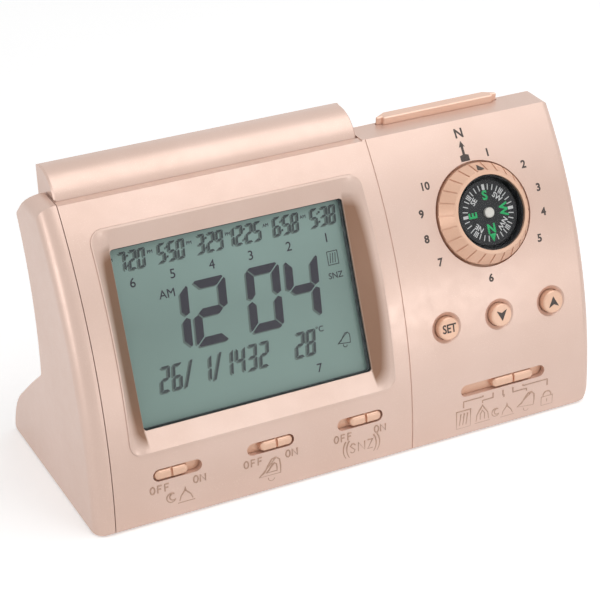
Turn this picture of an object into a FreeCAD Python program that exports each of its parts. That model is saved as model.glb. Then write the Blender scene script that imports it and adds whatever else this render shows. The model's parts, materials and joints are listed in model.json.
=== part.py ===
import FreeCAD, Part
import math
import os

os.makedirs("parts", exist_ok=True)
Vec = FreeCAD.Vector

# Table clock, millimetres. X runs left to right seen from the front, Y from front to back, Z up.
# The panel is an arc in side view, drawn out along X. Panel features are placed by their distance
# up that arc (s) and built in a local frame: X along the clock, Y up the panel, Z out of it.

# Body
body_width = 200.0
panel_radius = 167.4
panel_height = 117.0
cheek_width = 6.8
module_width = 77.0
wall = 2.2
cheek_wall = 3.0
parting_depth = 8.5
crown_run = 10.83
waist_depth = 47.0
waist_height = 40.2
back_hollow = 3.6
shoulder_depth = 68.8
shoulder_height = 21.3
shoulder_bulge = 0.3
heel_depth = 80.4
heel_bulge = 2.6
cheek_round = 5.5
rim_round = 3.0
edge_round = 1.5
waist_round = 3.0
foot_round = 1.2

# Seams and fits between pieces
seam = 0.3
seam_depth = 0.3
lip_thickness = 1.2
lip_reach = 1.6
fit = 0.3
running = 0.05
press_gap = 0.1
touch = 0.02

# Fasteners and circuit boards
screw_radius = 1.2
screw_length = 6.0
screw_head_radius = 2.3
screw_head_height = 1.4
screw_recess_width = 0.6
screw_recess_depth = 0.6
post_radius = 2.2
board_thickness = 1.6
board_margin = 3.2
board_corner = 1.5

# Spring wire: straight steps in a turn and sides of its section
coil_steps = 10
wire_sides = 6

# Display
display_shift = 0.9
bezel_margin = 6.7
bezel_foot_gap = 8.85
bezel_crown_gap = 11.15
bezel_corner = 5.0
bezel_rim = 0.5
bezel_proud = 0.35
bezel_flange = 1.0
bezel_slope_run = 7.3
bezel_slope_rise = 7.9
window_corner = 1.2
window_depth = 7.1
window_lip = 0.7
window_thickness = 1.0
window_overlap = 1.9
gasket_thickness = 1.4
gasket_overlap = 0.4
glass_thickness = 0.9
backlight_thickness = 3.0
board_gap = 2.6
connector_width = 2.5
cradle_wall = 3.0
cradle_shelf = 6.0
main_board_rise = 1.3

# Parts on the main board: radius or length, width, height, and place from the display's middle
blob_radius = 7.0
blob_height = 2.0
blob_place = (0.0, -6.0)
melody_size = (10.0, 7.0, 1.8)
melody_place = (19.0, -14.5)
capacitor_size = (2.5, 5.0)
capacitor_places = ((30.0, 10.0), (37.0, 10.0))
crystal_size = (8.0, 3.2, 2.4)
crystal_place = (-26.0, 18.0)

# Slide switches
switch_height = 18.3
switch_inset = 15.9
switch_shift = 0.5
switch_slot_length = 18.3
switch_slot_width = 4.6
switch_knob_length = 12.6
mode_slot_length = 35.9
mode_knob_length = 17.5
mode_steps = 5
slot_end_gap = 0.6
knob_width = 3.7
knob_proud = 0.4
knob_round = 1.2
knob_gap = 0.9
knob_gap_depth = 1.1
skirt_width = 7.6
skirt_thickness = 0.8
skirt_gap = 1.35
mode_skirt_cover = 9.0
lever_length = 2.4
lever_width = 1.8
lever_end_gap = 0.4
switch_body_width = 6.0
switch_body_height = 4.4
switch_body_end = 2.8
channel_width = 2.4
channel_depth = 2.6
channel_gap = 0.4
switch_board_width = 10.4
switch_board_depth = 10.6

# Push buttons
button_height = 44.4
button_pitch = 22.15
button_radius = 4.2
button_edge = 0.45
button_proud = 2.0
button_travel = 0.8
button_flange = 0.9
button_flange_thickness = 0.8
button_plunger_radius = 1.4
dish_radius = 6.0
dish_depth = 0.9
tact_size = 6.0
tact_height = 3.2
tact_stem_radius = 1.7
tact_stem_height = 0.9
button_board_width = 13.0
button_board_depth = 10.6

# Selector ring
dial_crown_gap = 35.1
dial_radius = 18.5
dial_hole_radius = 19.4
dial_top_radius = 15.1
dial_proud = 6.3
dial_base_height = 0.6
dial_edge = 0.3
dial_grooves = 24
groove_width = 0.5
groove_depth = 0.3
dial_floor = 1.0
dial_floor_thickness = 1.8
dial_skirt_depth = 4.8
dial_skirt_wall = 1.6
dial_flange = 1.9
dial_flange_thickness = 0.9
stem_radius = 3.0
stem_length = 9.4
stem_flat = 0.8
stem_flat_length = 3.4
selector_radius = 9.0
selector_size = 8.0
selector_base = 20.0
selector_base_width = 10.0
selector_base_height = 2.0
selector_board_depth = 15.0

# Compass
capsule_radius = 13.6
capsule_height = 4.2
capsule_floor = 0.8
capsule_wall = 0.7
lens_thickness = 0.9
card_radius = 11.8
card_level = 3.0
card_thickness = 0.5
pivot_base_radius = 1.5
pivot_base_height = 0.6
pivot_radius = 0.5
pivot_point = 0.5
pivot_rise = 0.6
compass_hub_radius = 1.9
compass_hub_height = 1.4
compass_hub_round = 0.3

# Snooze bar
bar_travel = 1.2
bar_lead = 3.36
bar_tail = 1.6
bar_rise = 7.3
bar_shoulder_drop = 8.6
bar_drop = 14.0
bar_wall = 1.6
bar_bulge = 3.3
bar_back_round = 2.4
bar_back_drop = 2.0
bar_back_lean = 1.2
bar_end_edge = 0.6
trough_depth = 8.3
trough_margin = 1.1
ledge_drop = 0.3
spring_inset = 14.0
spring_radius = 2.4
spring_wire = 0.3
spring_height = 9.0
spring_turns = 5
spring_stub_radius = 1.6
spring_stub_length = 5.0
hook_inset = 24.0
hook_width = 4.0
hook_thickness = 1.6
hook_barb = 0.9
hook_barb_height = 1.4
bar_plunger_inset = 8.0
bar_plunger_size = 3.0

# Light key
key_shift = -3.5
key_face_length = 45.7
key_end_reach = 3.6
key_step = 1.2
key_lead = 8.16
key_depth = 4.6
key_sweep = 5.6
key_corner = 0.5
key_proud = 2.8
key_wall = 1.2
key_edge = 0.35
key_travel = 1.2
key_skirt = 6.0
key_flange = 0.8
key_flange_thickness = 1.0
key_plunger_radius = 1.5
key_plunger_shift = -12.2
key_board_drop = 5.4
key_board_front = 5.5
key_board_back = 3.6
key_tact_height = 2.6
key_tact_stem_height = 0.7
key_post_inset = 7.5
key_post_shift = 6.0

# Speaker
speaker_radius = 20.0
speaker_height = 69.0
speaker_tilt = 17.0
speaker_stand = 4.0
speaker_depth = 7.5
speaker_rim = 2.0
speaker_rim_thickness = 1.6
speaker_skin = 0.8
speaker_slope_start = 15.6
speaker_slope_end = 11.0
magnet_radius = 12.0
magnet_height = 3.0
pole_radius = 8.0
pole_height = 0.9
cone_dome_radius = 6.0
cone_depth = 3.2
cone_thickness = 0.4
cone_dome_rise = 0.6
grille_slots = 7
grille_pitch = 5.3
grille_width = 2.2
grille_margin = 1.2

# Battery bay
cell_radius = 7.1
cell_length = 50.0
cell_edge = 0.4
cell_pip_radius = 2.7
cell_pip_height = 1.2
contact_gap = 3.75
bay_front = 36.0
bay_wall = 1.5
bay_rib_height = 2.0
bay_rim = 4.8
door_overlap = 4.25
door_thickness = 1.8
door_lead = 2.0
door_tongue = 1.2
door_rib_length = 14.0
door_rib_width = 1.2
door_rib_depth = 0.9
door_rib_pitch = 2.6
door_rib_count = 4
door_rib_inset = 6.0
contact_size = 10.4
contact_thickness = 0.5
contact_spring_radius = 3.4
contact_wire = 0.35
contact_turns = 2.5
contact_bump_radius = 2.2

# Base: screws from below and rubber feet
base_boss_radius = 4.4
base_boss_top = 10.0
base_pad_height = 1.6
base_screw_depth = 14.3
base_screw_inset = 19.9
foot_radius = 5.0
foot_inset = 18.0
foot_front = 26.3
foot_back = 11.0
foot_recess = 1.0
foot_stand = 0.5
foot_edge = 0.2

half = body_width / 2
big = 2 * body_width
seam_x = cheek_width - half
module_x = half - module_width
module_centre = half - module_width / 2
speaker_x = (seam_x + module_x) / 2
display_x = speaker_x + display_shift
key_centre = module_centre + key_shift
top_angle = panel_height / panel_radius
top_front = panel_radius * (1 - math.cos(top_angle))
top_z = panel_radius * math.sin(top_angle)
top_back = panel_radius - math.sqrt((panel_radius - parting_depth) ** 2 - top_z ** 2)
crown_depth = top_back + crown_run
crown_z = top_z - crown_run
pilot_radius = screw_radius + running
hole_radius = screw_radius + fit

# Display opening between the switches and the crown, the board behind it, and the selector
bezel_width = module_x - seam_x - 2 * bezel_margin
bezel_foot = switch_height + bezel_foot_gap
bezel_height = panel_height - bezel_crown_gap - bezel_foot
display_centre = bezel_foot + bezel_height / 2
dial_height = panel_height - dial_crown_gap
window_width = bezel_width - 2 * bezel_slope_run
window_height = bezel_height - 2 * bezel_slope_rise
main_board_height = window_height + 2 * main_board_rise

# Levels behind the panel
window_back = window_depth + window_lip + window_thickness
glass_back = window_back + gasket_thickness + 2 * glass_thickness
main_board_depth = glass_back + backlight_thickness + board_gap

# Travels, rests and the places of repeated pieces
switch_travel = switch_slot_length - switch_knob_length - 2 * slot_end_gap
mode_travel = mode_slot_length - mode_knob_length - 2 * slot_end_gap
mode_rest = module_centre + mode_travel / (mode_steps - 1)
switch_pitch = bezel_width / 2 - switch_inset
switch_places = [display_x + switch_shift + n * switch_pitch for n in (-1, 0, 1)]
switch_rests = [x + way * switch_travel / 2 for x, way in zip(switch_places, (-1, 1, 1))]
button_places = [module_centre + n * button_pitch for n in (-1, 0, 1)]
switch_skirt = switch_pitch - switch_travel - 2 * (post_radius + skirt_gap)
mode_skirt = mode_knob_length + mode_travel + mode_skirt_cover
base_screw_places = [n * (half - base_screw_inset) for n in (-1, 0, 1)]

# Snooze bar and the board under it
trough_left = seam_x + fit
trough_right = module_x - trough_margin
bar_left = trough_left + fit
bar_right = trough_right - fit
bar_top = top_z + bar_rise
bar_low = bar_top - bar_drop
bar_front = top_front + bar_lead
bar_back = crown_depth - bar_tail
bar_middle = (bar_front + bar_back) / 2
trough_floor = top_z - trough_depth
bar_plunger_x = bar_right - bar_plunger_inset
key_plunger_x = key_centre + key_plunger_shift
key_front = top_front + key_lead
key_back = key_front + key_depth
key_middle = (key_front + key_back) / 2
key_board_top = trough_floor - wall - key_board_drop
key_tact_top = key_board_top + key_tact_height + key_tact_stem_height

# Battery bay and speaker
cell_level = door_thickness + fit + cell_radius
bay_length = cell_length + 2 * contact_gap
door_width = bay_length + 2 * door_overlap
bay_back = bay_front + 4 * cell_radius + 4 * fit + bay_wall
cell_lines = [bay_front + fit + cell_radius + n * (2 * cell_radius + 2 * fit) for n in (0, 1)]
bay_top = cell_level + cell_radius + fit
door_front = bay_front - door_lead
basket_depth = speaker_depth - magnet_height


def box(x0, x1, y0, y1, z0, z1):
    return Part.makeBox(x1 - x0, y1 - y0, z1 - z0, Vec(x0, y0, z0))


def block(x, y, width, depth, z0, z1):
    return box(x - width / 2, x + width / 2, y - depth / 2, y + depth / 2, z0, z1)


def rod(radius, z0, z1, x=0.0, y=0.0):
    return Part.makeCylinder(radius, z1 - z0, Vec(x, y, z0))


def seated(shape, x, s):
    """A shape from the local frame, put on the panel at x and s."""
    angle = s / panel_radius
    placed = shape.copy()
    placed.rotate(Vec(0, 0, 0), Vec(1, 0, 0), 90 - math.degrees(angle))
    placed.translate(Vec(x, 0, 0) + arc_spot(angle, 0))
    return placed


def arc_spot(angle, depth):
    """Point in side view at an angle up the panel and a depth below it."""
    reach = panel_radius - depth
    return at(panel_radius - reach * math.cos(angle), reach * math.sin(angle))


def panel_drum(depth, x0=-body_width, x1=body_width):
    """The full cylinder that the panel belongs to, at a depth below the panel."""
    return Part.makeCylinder(panel_radius - depth, x1 - x0, Vec(x0, panel_radius, 0), Vec(1, 0, 0))


def drawn(edges, x0, x1):
    face = Part.Face(Part.Wire(edges))
    face.translate(Vec(x0, 0, 0))
    return face.extrude(Vec(x1 - x0, 0, 0))


def at(y, z):
    return Vec(0, y, z)


def line(a, b):
    return Part.makeLine(a, b)


def curve(a, b, c):
    return Part.Arc(a, b, c).toShape()


def bowed(a, b, rise, facing=Vec(1, 0, 0)):
    """Arc from a to b that leaves its chord by rise, to the right of its way."""
    across = (b - a).cross(facing)
    across.normalize()
    return curve(a, (a + b) * 0.5 + across * rise, b)


def chain(points):
    return [line(a, b) for a, b in zip(points, points[1:] + points[:1])]


def rounded(width, height, corner, z0, z1):
    """Rectangle with round corners, centred on the local axis."""
    plate = block(0, 0, width, height, z0, z1)
    uprights = [e for e in plate.Edges if abs(e.Vertexes[0].Z - e.Vertexes[1].Z) > (z1 - z0) / 2]
    return plate.makeFillet(corner, uprights)


def stadium(length, width, z0, z1):
    reach = (length - width) / 2
    bar = box(-reach, reach, -width / 2, width / 2, z0, z1)
    return bar.fuse([rod(width / 2, z0, z1, -reach), rod(width / 2, z0, z1, reach)]).removeSplitter()


def turned(profile):
    """Solid of revolution about Z. Entries are radius, height and, for a bowed edge, its rise."""
    corners = [Vec(entry[0], 0, entry[1]) for entry in profile]
    edges = []
    for entry, a, b in zip(profile, corners, corners[1:] + corners[:1]):
        edges.append(bowed(a, b, entry[2], Vec(0, -1, 0)) if len(entry) > 2 else line(a, b))
    return Part.Face(Part.Wire(edges)).revolve(Vec(0, 0, 0), Vec(0, 0, 1), 360)


def polar(radius, turn, height=0.0):
    return Vec(radius * math.cos(turn), radius * math.sin(turn), height)


def coil(radius, wire, height, turns):
    """Helical spring standing on the local XY plane, its wire bent in short straight steps."""
    count = round(turns * coil_steps)
    spots = [polar(radius, 2 * math.pi * n / coil_steps, wire + height * n / count) for n in range(count + 1)]
    way = (spots[1] - spots[0]).normalize()
    side = (Vec(1, 0, 0) - way * way.x).normalize()
    rise = way.cross(side)
    section = []
    for n in range(wire_sides + 1):
        corner = polar(wire, 2 * math.pi * n / wire_sides)
        section.append(spots[0] + side * corner.x + rise * corner.y)
    return Part.makePolygon(spots).makePipeShell([Part.makePolygon(section)], True, False, 1)


def x_edges(shape, y, z):
    """Edges along X that lie at the given Y and Z."""
    found = []
    for e in shape.Edges:
        a = e.Vertexes[0].Point
        b = e.Vertexes[-1].Point
        level = abs(a.y - y) + abs(b.y - y) + abs(a.z - z) + abs(b.z - z)
        if level < fit and abs(a.x - b.x) > wall:
            found.append(e)
    return found


def end_edges(shape, x, y1, z0):
    """Long edges in the end plane at x, in front of y1 and above z0."""
    found = []
    for e in shape.Edges:
        if max(abs(v.X - x) for v in e.Vertexes) > touch:
            continue
        m = e.valueAt((e.FirstParameter + e.LastParameter) / 2)
        if abs(m.x - x) < touch and m.y < y1 and m.z > z0 and e.Length > 3 * wall:
            found.append(e)
    return found


# Body and housings

def body_outline():
    """Side view, from the foot of the panel round the heel and the back to its top edge."""
    foot = at(0, 0)
    tail = at(heel_depth, 0)
    shoulder = at(shoulder_depth, shoulder_height)
    waist = at(waist_depth, waist_height)
    crown = at(crown_depth, crown_z)
    ridge = at(top_back, top_z)
    brow = at(top_front, top_z)
    return [
        line(foot, tail),
        bowed(tail, shoulder, heel_bulge),
        bowed(shoulder, waist, shoulder_bulge),
        bowed(waist, crown, -back_hollow),
        line(crown, ridge),
        line(ridge, brow),
        curve(brow, arc_spot(top_angle / 2, 0), foot),
    ]


def body_hull():
    hull = drawn(body_outline(), -half, half)
    hull = hull.makeFillet(cheek_round, end_edges(hull, -half, top_back, edge_round))
    hull = hull.makeFillet(rim_round, end_edges(hull, half, top_back, edge_round))
    hull = hull.makeFillet(waist_round, x_edges(hull, waist_depth, waist_height))
    hull = hull.makeFillet(edge_round, x_edges(hull, crown_depth, crown_z))
    hull = hull.makeFillet(edge_round, x_edges(hull, heel_depth, 0))
    corner = box(-big, big, -wall, foot_round, -wall, foot_round)
    bead = Part.makeCylinder(foot_round, 2 * big, Vec(-big, foot_round, foot_round), Vec(1, 0, 0))
    return hull.cut(corner.cut(bead))


def body_cavity():
    inner = Part.Face(Part.Wire(body_outline())).makeOffset2D(-wall)
    inner.translate(Vec(cheek_wall - half, 0, 0))
    return inner.extrude(Vec(body_width - cheek_wall - wall, 0, 0))


def trough(grow):
    """Bed of the snooze bar, open to the top and the back."""
    return box(trough_left - grow, trough_right + grow, bar_front - fit - grow, big, trough_floor - grow, big)


def ledge():
    """Slight step down of the panel's top edge in front of the bar."""
    return box(trough_left, trough_right, 0, bar_front, top_z - ledge_drop, big)


def key_prism(grow, z0, z1):
    """Plan of the light key, grown all round: a straight face between set-back, swept ends."""
    face = key_face_length / 2
    end = face + key_end_reach
    shoulder = key_front + key_step
    side = [(face, key_front), (face, shoulder), (end, shoulder), (end - key_sweep, key_back)]
    corners = [Vec(key_centre + x, y, z0) for x, y in side]
    corners += [Vec(key_centre - x, y, z0) for x, y in reversed(side)]
    core = Part.Face(Part.Wire(chain(corners))).makeOffset2D(-key_corner)
    return core.makeOffset2D(key_corner + grow).extrude(Vec(0, 0, z1 - z0))


def body_shell():
    cavity = body_cavity().cut(trough(wall))
    hull = body_hull().cut([trough(0), ledge()])
    return hull.cut([cavity, key_prism(fit, trough_floor, big)])


def front_region(gap):
    """Space that belongs to the front housing: right of the seam and above the parting arc."""
    return box(seam_x + gap, big, -big, big, -wall, big).cut(panel_drum(parting_depth - gap))


def display_posts():
    """Bosses at the four corners of the display board, in the display's local frame."""
    side = bezel_width / 2 + bezel_flange + fit + post_radius
    rise = bezel_height / 3
    return [(x, y) for x in (-side, side) for y in (-rise, rise)]


def switch_posts():
    gaps = [place - switch_pitch / 2 for place in switch_places]
    mode_post = module_centre + (mode_skirt + mode_travel) / 2 + post_radius + fit
    return gaps + [switch_places[-1] + switch_pitch / 2, mode_post]


def button_posts():
    return [module_centre + n * button_pitch / 2 for n in (-1, 1)]


def selector_posts():
    turn = (dial_hole_radius + 2 * post_radius) * math.sin(math.radians(45))
    return [(x, y) for x in (-turn, turn) for y in (-turn, turn)]


def key_posts():
    return [bar_plunger_x - key_post_inset, module_x + key_post_shift]


def boss_places():
    """Panel bosses: place in the local frame, depth of the board they carry, x and s."""
    places = [(x, y, main_board_depth, display_x, display_centre) for x, y in display_posts()]
    places += [(0, 0, switch_board_depth, x, switch_height) for x in switch_posts()]
    places += [(0, 0, button_board_depth, x, button_height) for x in button_posts()]
    places += [(x, y, selector_board_depth, module_centre, dial_height) for x, y in selector_posts()]
    return places


def dish():
    """Soft hollow round a push button, with the button's hole at its middle."""
    bore = button_radius + fit
    hollow = turned([(0, -dish_depth), (bore, -dish_depth), (dish_radius, 0), (dish_radius, wall), (0, wall)])
    return hollow.fuse(rod(bore, -2 * wall, 0))


def module_groove():
    """Shallow line down the panel between the display side and the dial side."""
    strip = panel_drum(-wall, module_x - seam, module_x + seam)
    strip = strip.cut(panel_drum(seam_depth))
    return strip.common(box(-big, big, -big, top_front + wall, -wall, big))


def front_housing():
    shell = body_shell().common(front_region(seam / 2))
    adds = []
    cuts = [bezel_prism(touch, -2 * window_depth, 2 * wall), module_groove()]
    for x, y, depth, place, s in boss_places():
        boss = seated(rod(post_radius, -depth, 0, x, y), place, s)
        pilot = rod(pilot_radius, -depth - wall, -depth + screw_length, x, y)
        adds.append(boss.common(panel_drum(wall / 2)))
        cuts.append(seated(pilot, place, s))
    for x in base_screw_places:
        low = wall + base_pad_height
        boss = rod(base_boss_radius, low, base_boss_top, x, base_screw_depth)
        web = box(x - wall, x + wall, wall / 2, base_screw_depth, low, base_boss_top)
        adds.append(boss.fuse(web).common(panel_drum(wall / 2)))
        pilot_top = screw_head_height + screw_length + 2 * fit
        cuts.append(rod(pilot_radius, 0, pilot_top, x, base_screw_depth))
    for x in switch_places:
        cuts.append(seated(stadium(switch_slot_length, switch_slot_width, -2 * wall, wall), x, switch_height))
    mode_slot = stadium(mode_slot_length, switch_slot_width, -2 * wall, wall)
    cuts.append(seated(mode_slot, module_centre, switch_height))
    for x in button_places:
        cuts.append(seated(dish(), x, button_height))
    cuts.append(seated(rod(dial_hole_radius, -2 * wall, wall), module_centre, dial_height))
    return shell.fuse(adds).cut(cuts).removeSplitter()


def housing_lip():
    """Lip on the cheek that lines up the front housing from behind."""
    outer = panel_drum(wall + touch, cheek_wall - half - wall / 2, seam_x + lip_reach)
    inner = panel_drum(wall + touch + lip_thickness)
    window = box(-big, big, 0, top_front - wall, 2 * wall, top_z - cheek_round - 3 * wall)
    return outer.cut(inner).common(window)


def bay_space():
    return box(-bay_length / 2, bay_length / 2, bay_front, bay_back, -wall, bay_top)


def battery_frame():
    """Walls of the battery bay on the rim that closes over the sliding door."""
    low = door_thickness + fit
    side = door_width / 2 + bay_rim
    rim = box(-side, side, door_front - 2 * bay_wall, big, low, low + bay_wall)
    outer = bay_length / 2 + bay_wall
    walls = box(-outer, outer, bay_front - bay_wall, bay_back + bay_wall, low, bay_top + bay_wall)
    middle = (bay_front + bay_back) / 2
    rib = block(0, middle, bay_length, 2 * bay_wall, bay_top - bay_rib_height, bay_top + touch)
    return rim.fuse(walls).cut(bay_space()).fuse(rib).common(body_hull())


def door_space(grow):
    """Room of the sliding battery door: the plate and its two side tongues."""
    reach = door_width / 2 + grow
    plate = box(-reach, reach, door_front - grow, big, -wall, door_thickness + grow)
    low = door_thickness / 2 - grow
    side = reach + door_tongue
    return plate.fuse(box(-side, side, door_front - grow, big, low, door_thickness + grow))


def rear_wall_depth(z):
    """Depth of the rear wall's outside at a height between the waist and the crown."""
    probe = line(at(top_front, z), at(heel_depth, z))
    return body_outline()[3].distToShape(probe)[1][0][0].y


def speaker_seated(shape):
    """Puts a shape on the speaker's axis, whose local Z points out of the back."""
    placed = shape.copy()
    placed.rotate(Vec(0, 0, 0), Vec(1, 0, 0), -90 - speaker_tilt)
    placed.translate(Vec(speaker_x, rear_wall_depth(speaker_height) - speaker_stand, speaker_height))
    return placed


def speaker_seat():
    """Ring wall round the speaker with a step that its rim lies against."""
    inside = speaker_radius + fit
    ring = rod(inside + bay_wall, -speaker_depth / 2, 2 * speaker_stand)
    ring = ring.cut(rod(inside, -speaker_depth, touch))
    ring = ring.cut(rod(speaker_radius - speaker_rim, 0, 2 * speaker_stand))
    return speaker_seated(ring).common(body_hull())


def grille():
    slots = []
    for n in range(grille_slots):
        offset = (n - (grille_slots - 1) / 2) * grille_pitch
        reach = math.sqrt((speaker_radius - speaker_rim - grille_margin) ** 2 - offset ** 2)
        slot = stadium(2 * reach, grille_width, touch, 3 * speaker_stand)
        slot.rotate(Vec(0, 0, 0), Vec(0, 0, 1), 90)
        slot.translate(Vec(offset, 0, 0))
        slots.append(speaker_seated(slot))
    return slots


def foot_places():
    side = half - foot_inset
    return [(x, y) for x in (-side, side) for y in (foot_front, heel_depth - foot_back)]


def hook_places():
    """Place and outward way of the two hooks that hold the snooze bar down."""
    return [(bar_left + hook_inset, -1), (bar_right - hook_inset, 1)]


def hook_hole(x, way):
    """Hole in the trough floor, wide enough on the inner side for the hook to bend."""
    inner = x - way * (hook_thickness / 2 + hook_barb + fit)
    outer = x + way * (hook_thickness / 2 + fit)
    reach = hook_width / 2 + fit
    return box(min(inner, outer), max(inner, outer), bar_middle - reach, bar_middle + reach,
               trough_floor - 2 * wall, trough_floor + wall)


def rear_housing():
    shell = body_shell().cut(front_region(-seam / 2))
    adds = [housing_lip(), battery_frame(), speaker_seat()]
    cuts = [door_space(fit), bay_space().cut(battery_frame())] + grille()
    for x in base_screw_places:
        adds.append(rod(base_boss_radius, wall / 2, wall + base_pad_height - touch, x, base_screw_depth))
        cuts.append(rod(hole_radius, -wall, 2 * wall, x, base_screw_depth))
        cuts.append(rod(screw_head_radius + fit, -wall, screw_head_height + fit, x, base_screw_depth))
    for x, y in foot_places():
        adds.append(rod(foot_radius + wall, wall / 2, wall + foot_recess, x, y))
        cuts.append(rod(foot_radius + touch, -wall, foot_recess, x, y))
    for x in key_posts():
        post = rod(post_radius, key_board_top, top_z, x, bar_middle)
        adds.append(post.common(body_hull()).cut([trough(wall / 2), front_region(-seam / 2)]))
        pilot_top = key_board_top + screw_length - fit
        cuts.append(rod(pilot_radius, key_board_top - wall, pilot_top, x, bar_middle))
    for x, way in hook_places():
        cuts.append(hook_hole(x, way))
    mouth = bar_plunger_size + 2 * fit
    cuts.append(block(bar_plunger_x, bar_middle, mouth, mouth, trough_floor - 2 * wall, bar_top))
    return shell.fuse(adds).cut(cuts).removeSplitter()


def housing_screws():
    pins = []
    for x in base_screw_places:
        pin = screw(screw_head_height + fit).cut(cross_recess(fit))
        pin.translate(Vec(x, base_screw_depth, 0))
        pins.append(pin)
    return Part.makeCompound(pins)


def rubber_feet():
    pads = []
    for x, y in foot_places():
        pad = turned([(0, -foot_stand), (foot_radius - foot_edge, -foot_stand),
                      (foot_radius, foot_edge - foot_stand), (foot_radius, foot_recess - touch),
                      (0, foot_recess - touch)])
        pad.translate(Vec(x, y, 0))
        pads.append(pad)
    return Part.makeCompound(pads)


# Display

def bezel_prism(grow, z0, z1):
    plan = rounded(bezel_width + 2 * grow, bezel_height + 2 * grow, bezel_corner + grow, z0, z1)
    return seated(plan, display_x, display_centre)


def funnel():
    """Room in front of the window: a middle prism and two ends lofted out to the curved rim."""
    reach = bezel_width / 2 - bezel_rim
    rise = bezel_height / 2 - bezel_rim
    middle = display_centre / panel_radius
    floor_reach = panel_radius - window_depth
    floor_rise = window_height / 2
    floor_depth = panel_radius - math.hypot(floor_reach, floor_rise)
    floor_turn = math.atan2(floor_rise, floor_reach)
    rim_turn = rise / panel_radius
    side_turn = floor_rise / panel_radius

    def section(turns, depths):
        """Bottom rim, two inner corners, top rim, and two points far in front of the panel."""
        points = [arc_spot(middle + turn, depth) for turn, depth in zip(turns, depths)]
        return points + [arc_spot(middle + turn, -4 * wall) for turn in (rim_turn, -rim_turn)]

    deep = section((-rim_turn, -floor_turn, floor_turn, rim_turn),
                   (-bezel_proud, floor_depth, floor_depth, -bezel_proud))
    turns = (-rim_turn, -side_turn, side_turn, rim_turn)
    shallow = section(turns, [-bezel_proud] * 4)
    room = [drawn(chain(deep), display_x - window_width / 2, display_x + window_width / 2)]
    for way in (-1, 1):
        inner = [p + Vec(display_x + way * window_width / 2, 0, 0) for p in deep]
        outer = [p + Vec(display_x + way * reach, 0, 0) for p in shallow]
        rim = chain(outer)
        for n in range(3):
            top = arc_spot(middle + (turns[n] + turns[n + 1]) / 2, -bezel_proud)
            rim[n] = curve(outer[n], Vec(outer[n].x, top.y, top.z), outer[n + 1])
        room.append(Part.makeLoft([Part.Wire(chain(inner)), Part.Wire(rim)], True, True))
    frame = rounded(2 * reach, 2 * rise, bezel_corner - bezel_rim, -2 * window_depth, 3 * wall)
    return room[0].fuse(room[1:]).common(seated(frame, display_x, display_centre))


def display_bezel():
    """Frame with ruled walls from a curved rim down to the flat window, held by a rear flange."""
    depth = window_depth + window_lip
    frame = bezel_prism(-touch, -depth, 2 * wall).common(panel_drum(-bezel_proud))
    flange = bezel_prism(bezel_flange, -depth, 2 * wall).common(panel_drum(wall + touch))
    opening = rounded(window_width, window_height, window_corner, -depth - wall, wall)
    opening = seated(opening, display_x, display_centre)
    return frame.fuse(flange).cut([funnel(), opening]).removeSplitter()


def layer(width, height, corner, depth, thickness, rise=0.0):
    """Flat sheet behind the display, its front face at the given depth."""
    sheet = rounded(width, height, corner, -depth - thickness, -depth)
    sheet.translate(Vec(0, rise, 0))
    return sheet


def display_stack():
    """The window and everything that is stacked behind it, by node name."""
    wide = window_width + 2 * window_overlap
    high = window_height + 2 * window_overlap
    short = high - 2 * connector_width
    guide_high = short - 2 * fit
    depth = window_depth + window_lip
    pieces = {"display_window": layer(wide, high, window_corner, depth, window_thickness)}
    depth = window_back
    gasket_hole = layer(window_width - 2 * gasket_overlap, window_height - 2 * gasket_overlap, window_corner,
                        depth - wall, 2 * wall + gasket_thickness)
    pieces["display_gasket"] = layer(wide, high, window_corner, depth, gasket_thickness).cut(gasket_hole)
    depth += gasket_thickness
    pieces["lcd_front_glass"] = layer(wide, high, window_corner, depth, glass_thickness)
    depth += glass_thickness
    pieces["lcd_rear_glass"] = layer(wide, short, window_corner, depth, glass_thickness, connector_width)
    guide_rise = connector_width + fit
    pieces["backlight_guide"] = layer(wide, guide_high, window_corner, glass_back, backlight_thickness,
                                      guide_rise)
    pieces["lcd_connector"] = layer(window_width, connector_width - fit, fit, depth, main_board_depth - depth,
                                    connector_width - fit - high / 2)
    foot = backlight_thickness + board_gap
    cradle = layer(wide + 2 * cradle_wall, high + 2 * cradle_wall, window_corner, glass_back, foot)
    room = layer(wide + touch, high + touch, window_corner, glass_back - wall, foot + 2 * wall)
    shelf = layer(wide + 2 * touch, guide_high, window_corner, glass_back + backlight_thickness, board_gap,
                  guide_rise)
    well = layer(wide - 2 * cradle_shelf, guide_high - 2 * cradle_shelf, window_corner, glass_back,
                 foot + wall, guide_rise)
    pieces["lcd_cradle"] = cradle.cut(room).fuse(shelf.cut(well))
    board_width = 2 * (display_posts()[-1][0] + post_radius)
    board = layer(board_width, main_board_height, board_corner, main_board_depth, board_thickness)
    holes = [rod(hole_radius, -main_board_depth - wall, 0, x, y) for x, y in display_posts()]
    pieces["main_board"] = board.cut(holes)
    return {name: seated(shape, display_x, display_centre) for name, shape in pieces.items()}


def board_chips():
    """Processor blob, melody chip, capacitors and crystal on the back of the main board."""
    level = -main_board_depth - board_thickness
    blob_top = blob_radius - blob_height
    blob = Part.makeCone(blob_radius, blob_top, blob_height, Vec(*blob_place, level), Vec(0, 0, -1))
    parts = [blob]
    parts.append(block(*melody_place, melody_size[0], melody_size[1], level - melody_size[2], level))
    for place in capacitor_places:
        parts.append(rod(capacitor_size[0], level - capacitor_size[1], level, *place))
    length, width, height = crystal_size
    crystal = rounded(length, width, width / 2 - fit, level - height, level)
    crystal.translate(Vec(*crystal_place, 0))
    return seated(Part.makeCompound(parts + [crystal]), display_x, display_centre)


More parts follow.
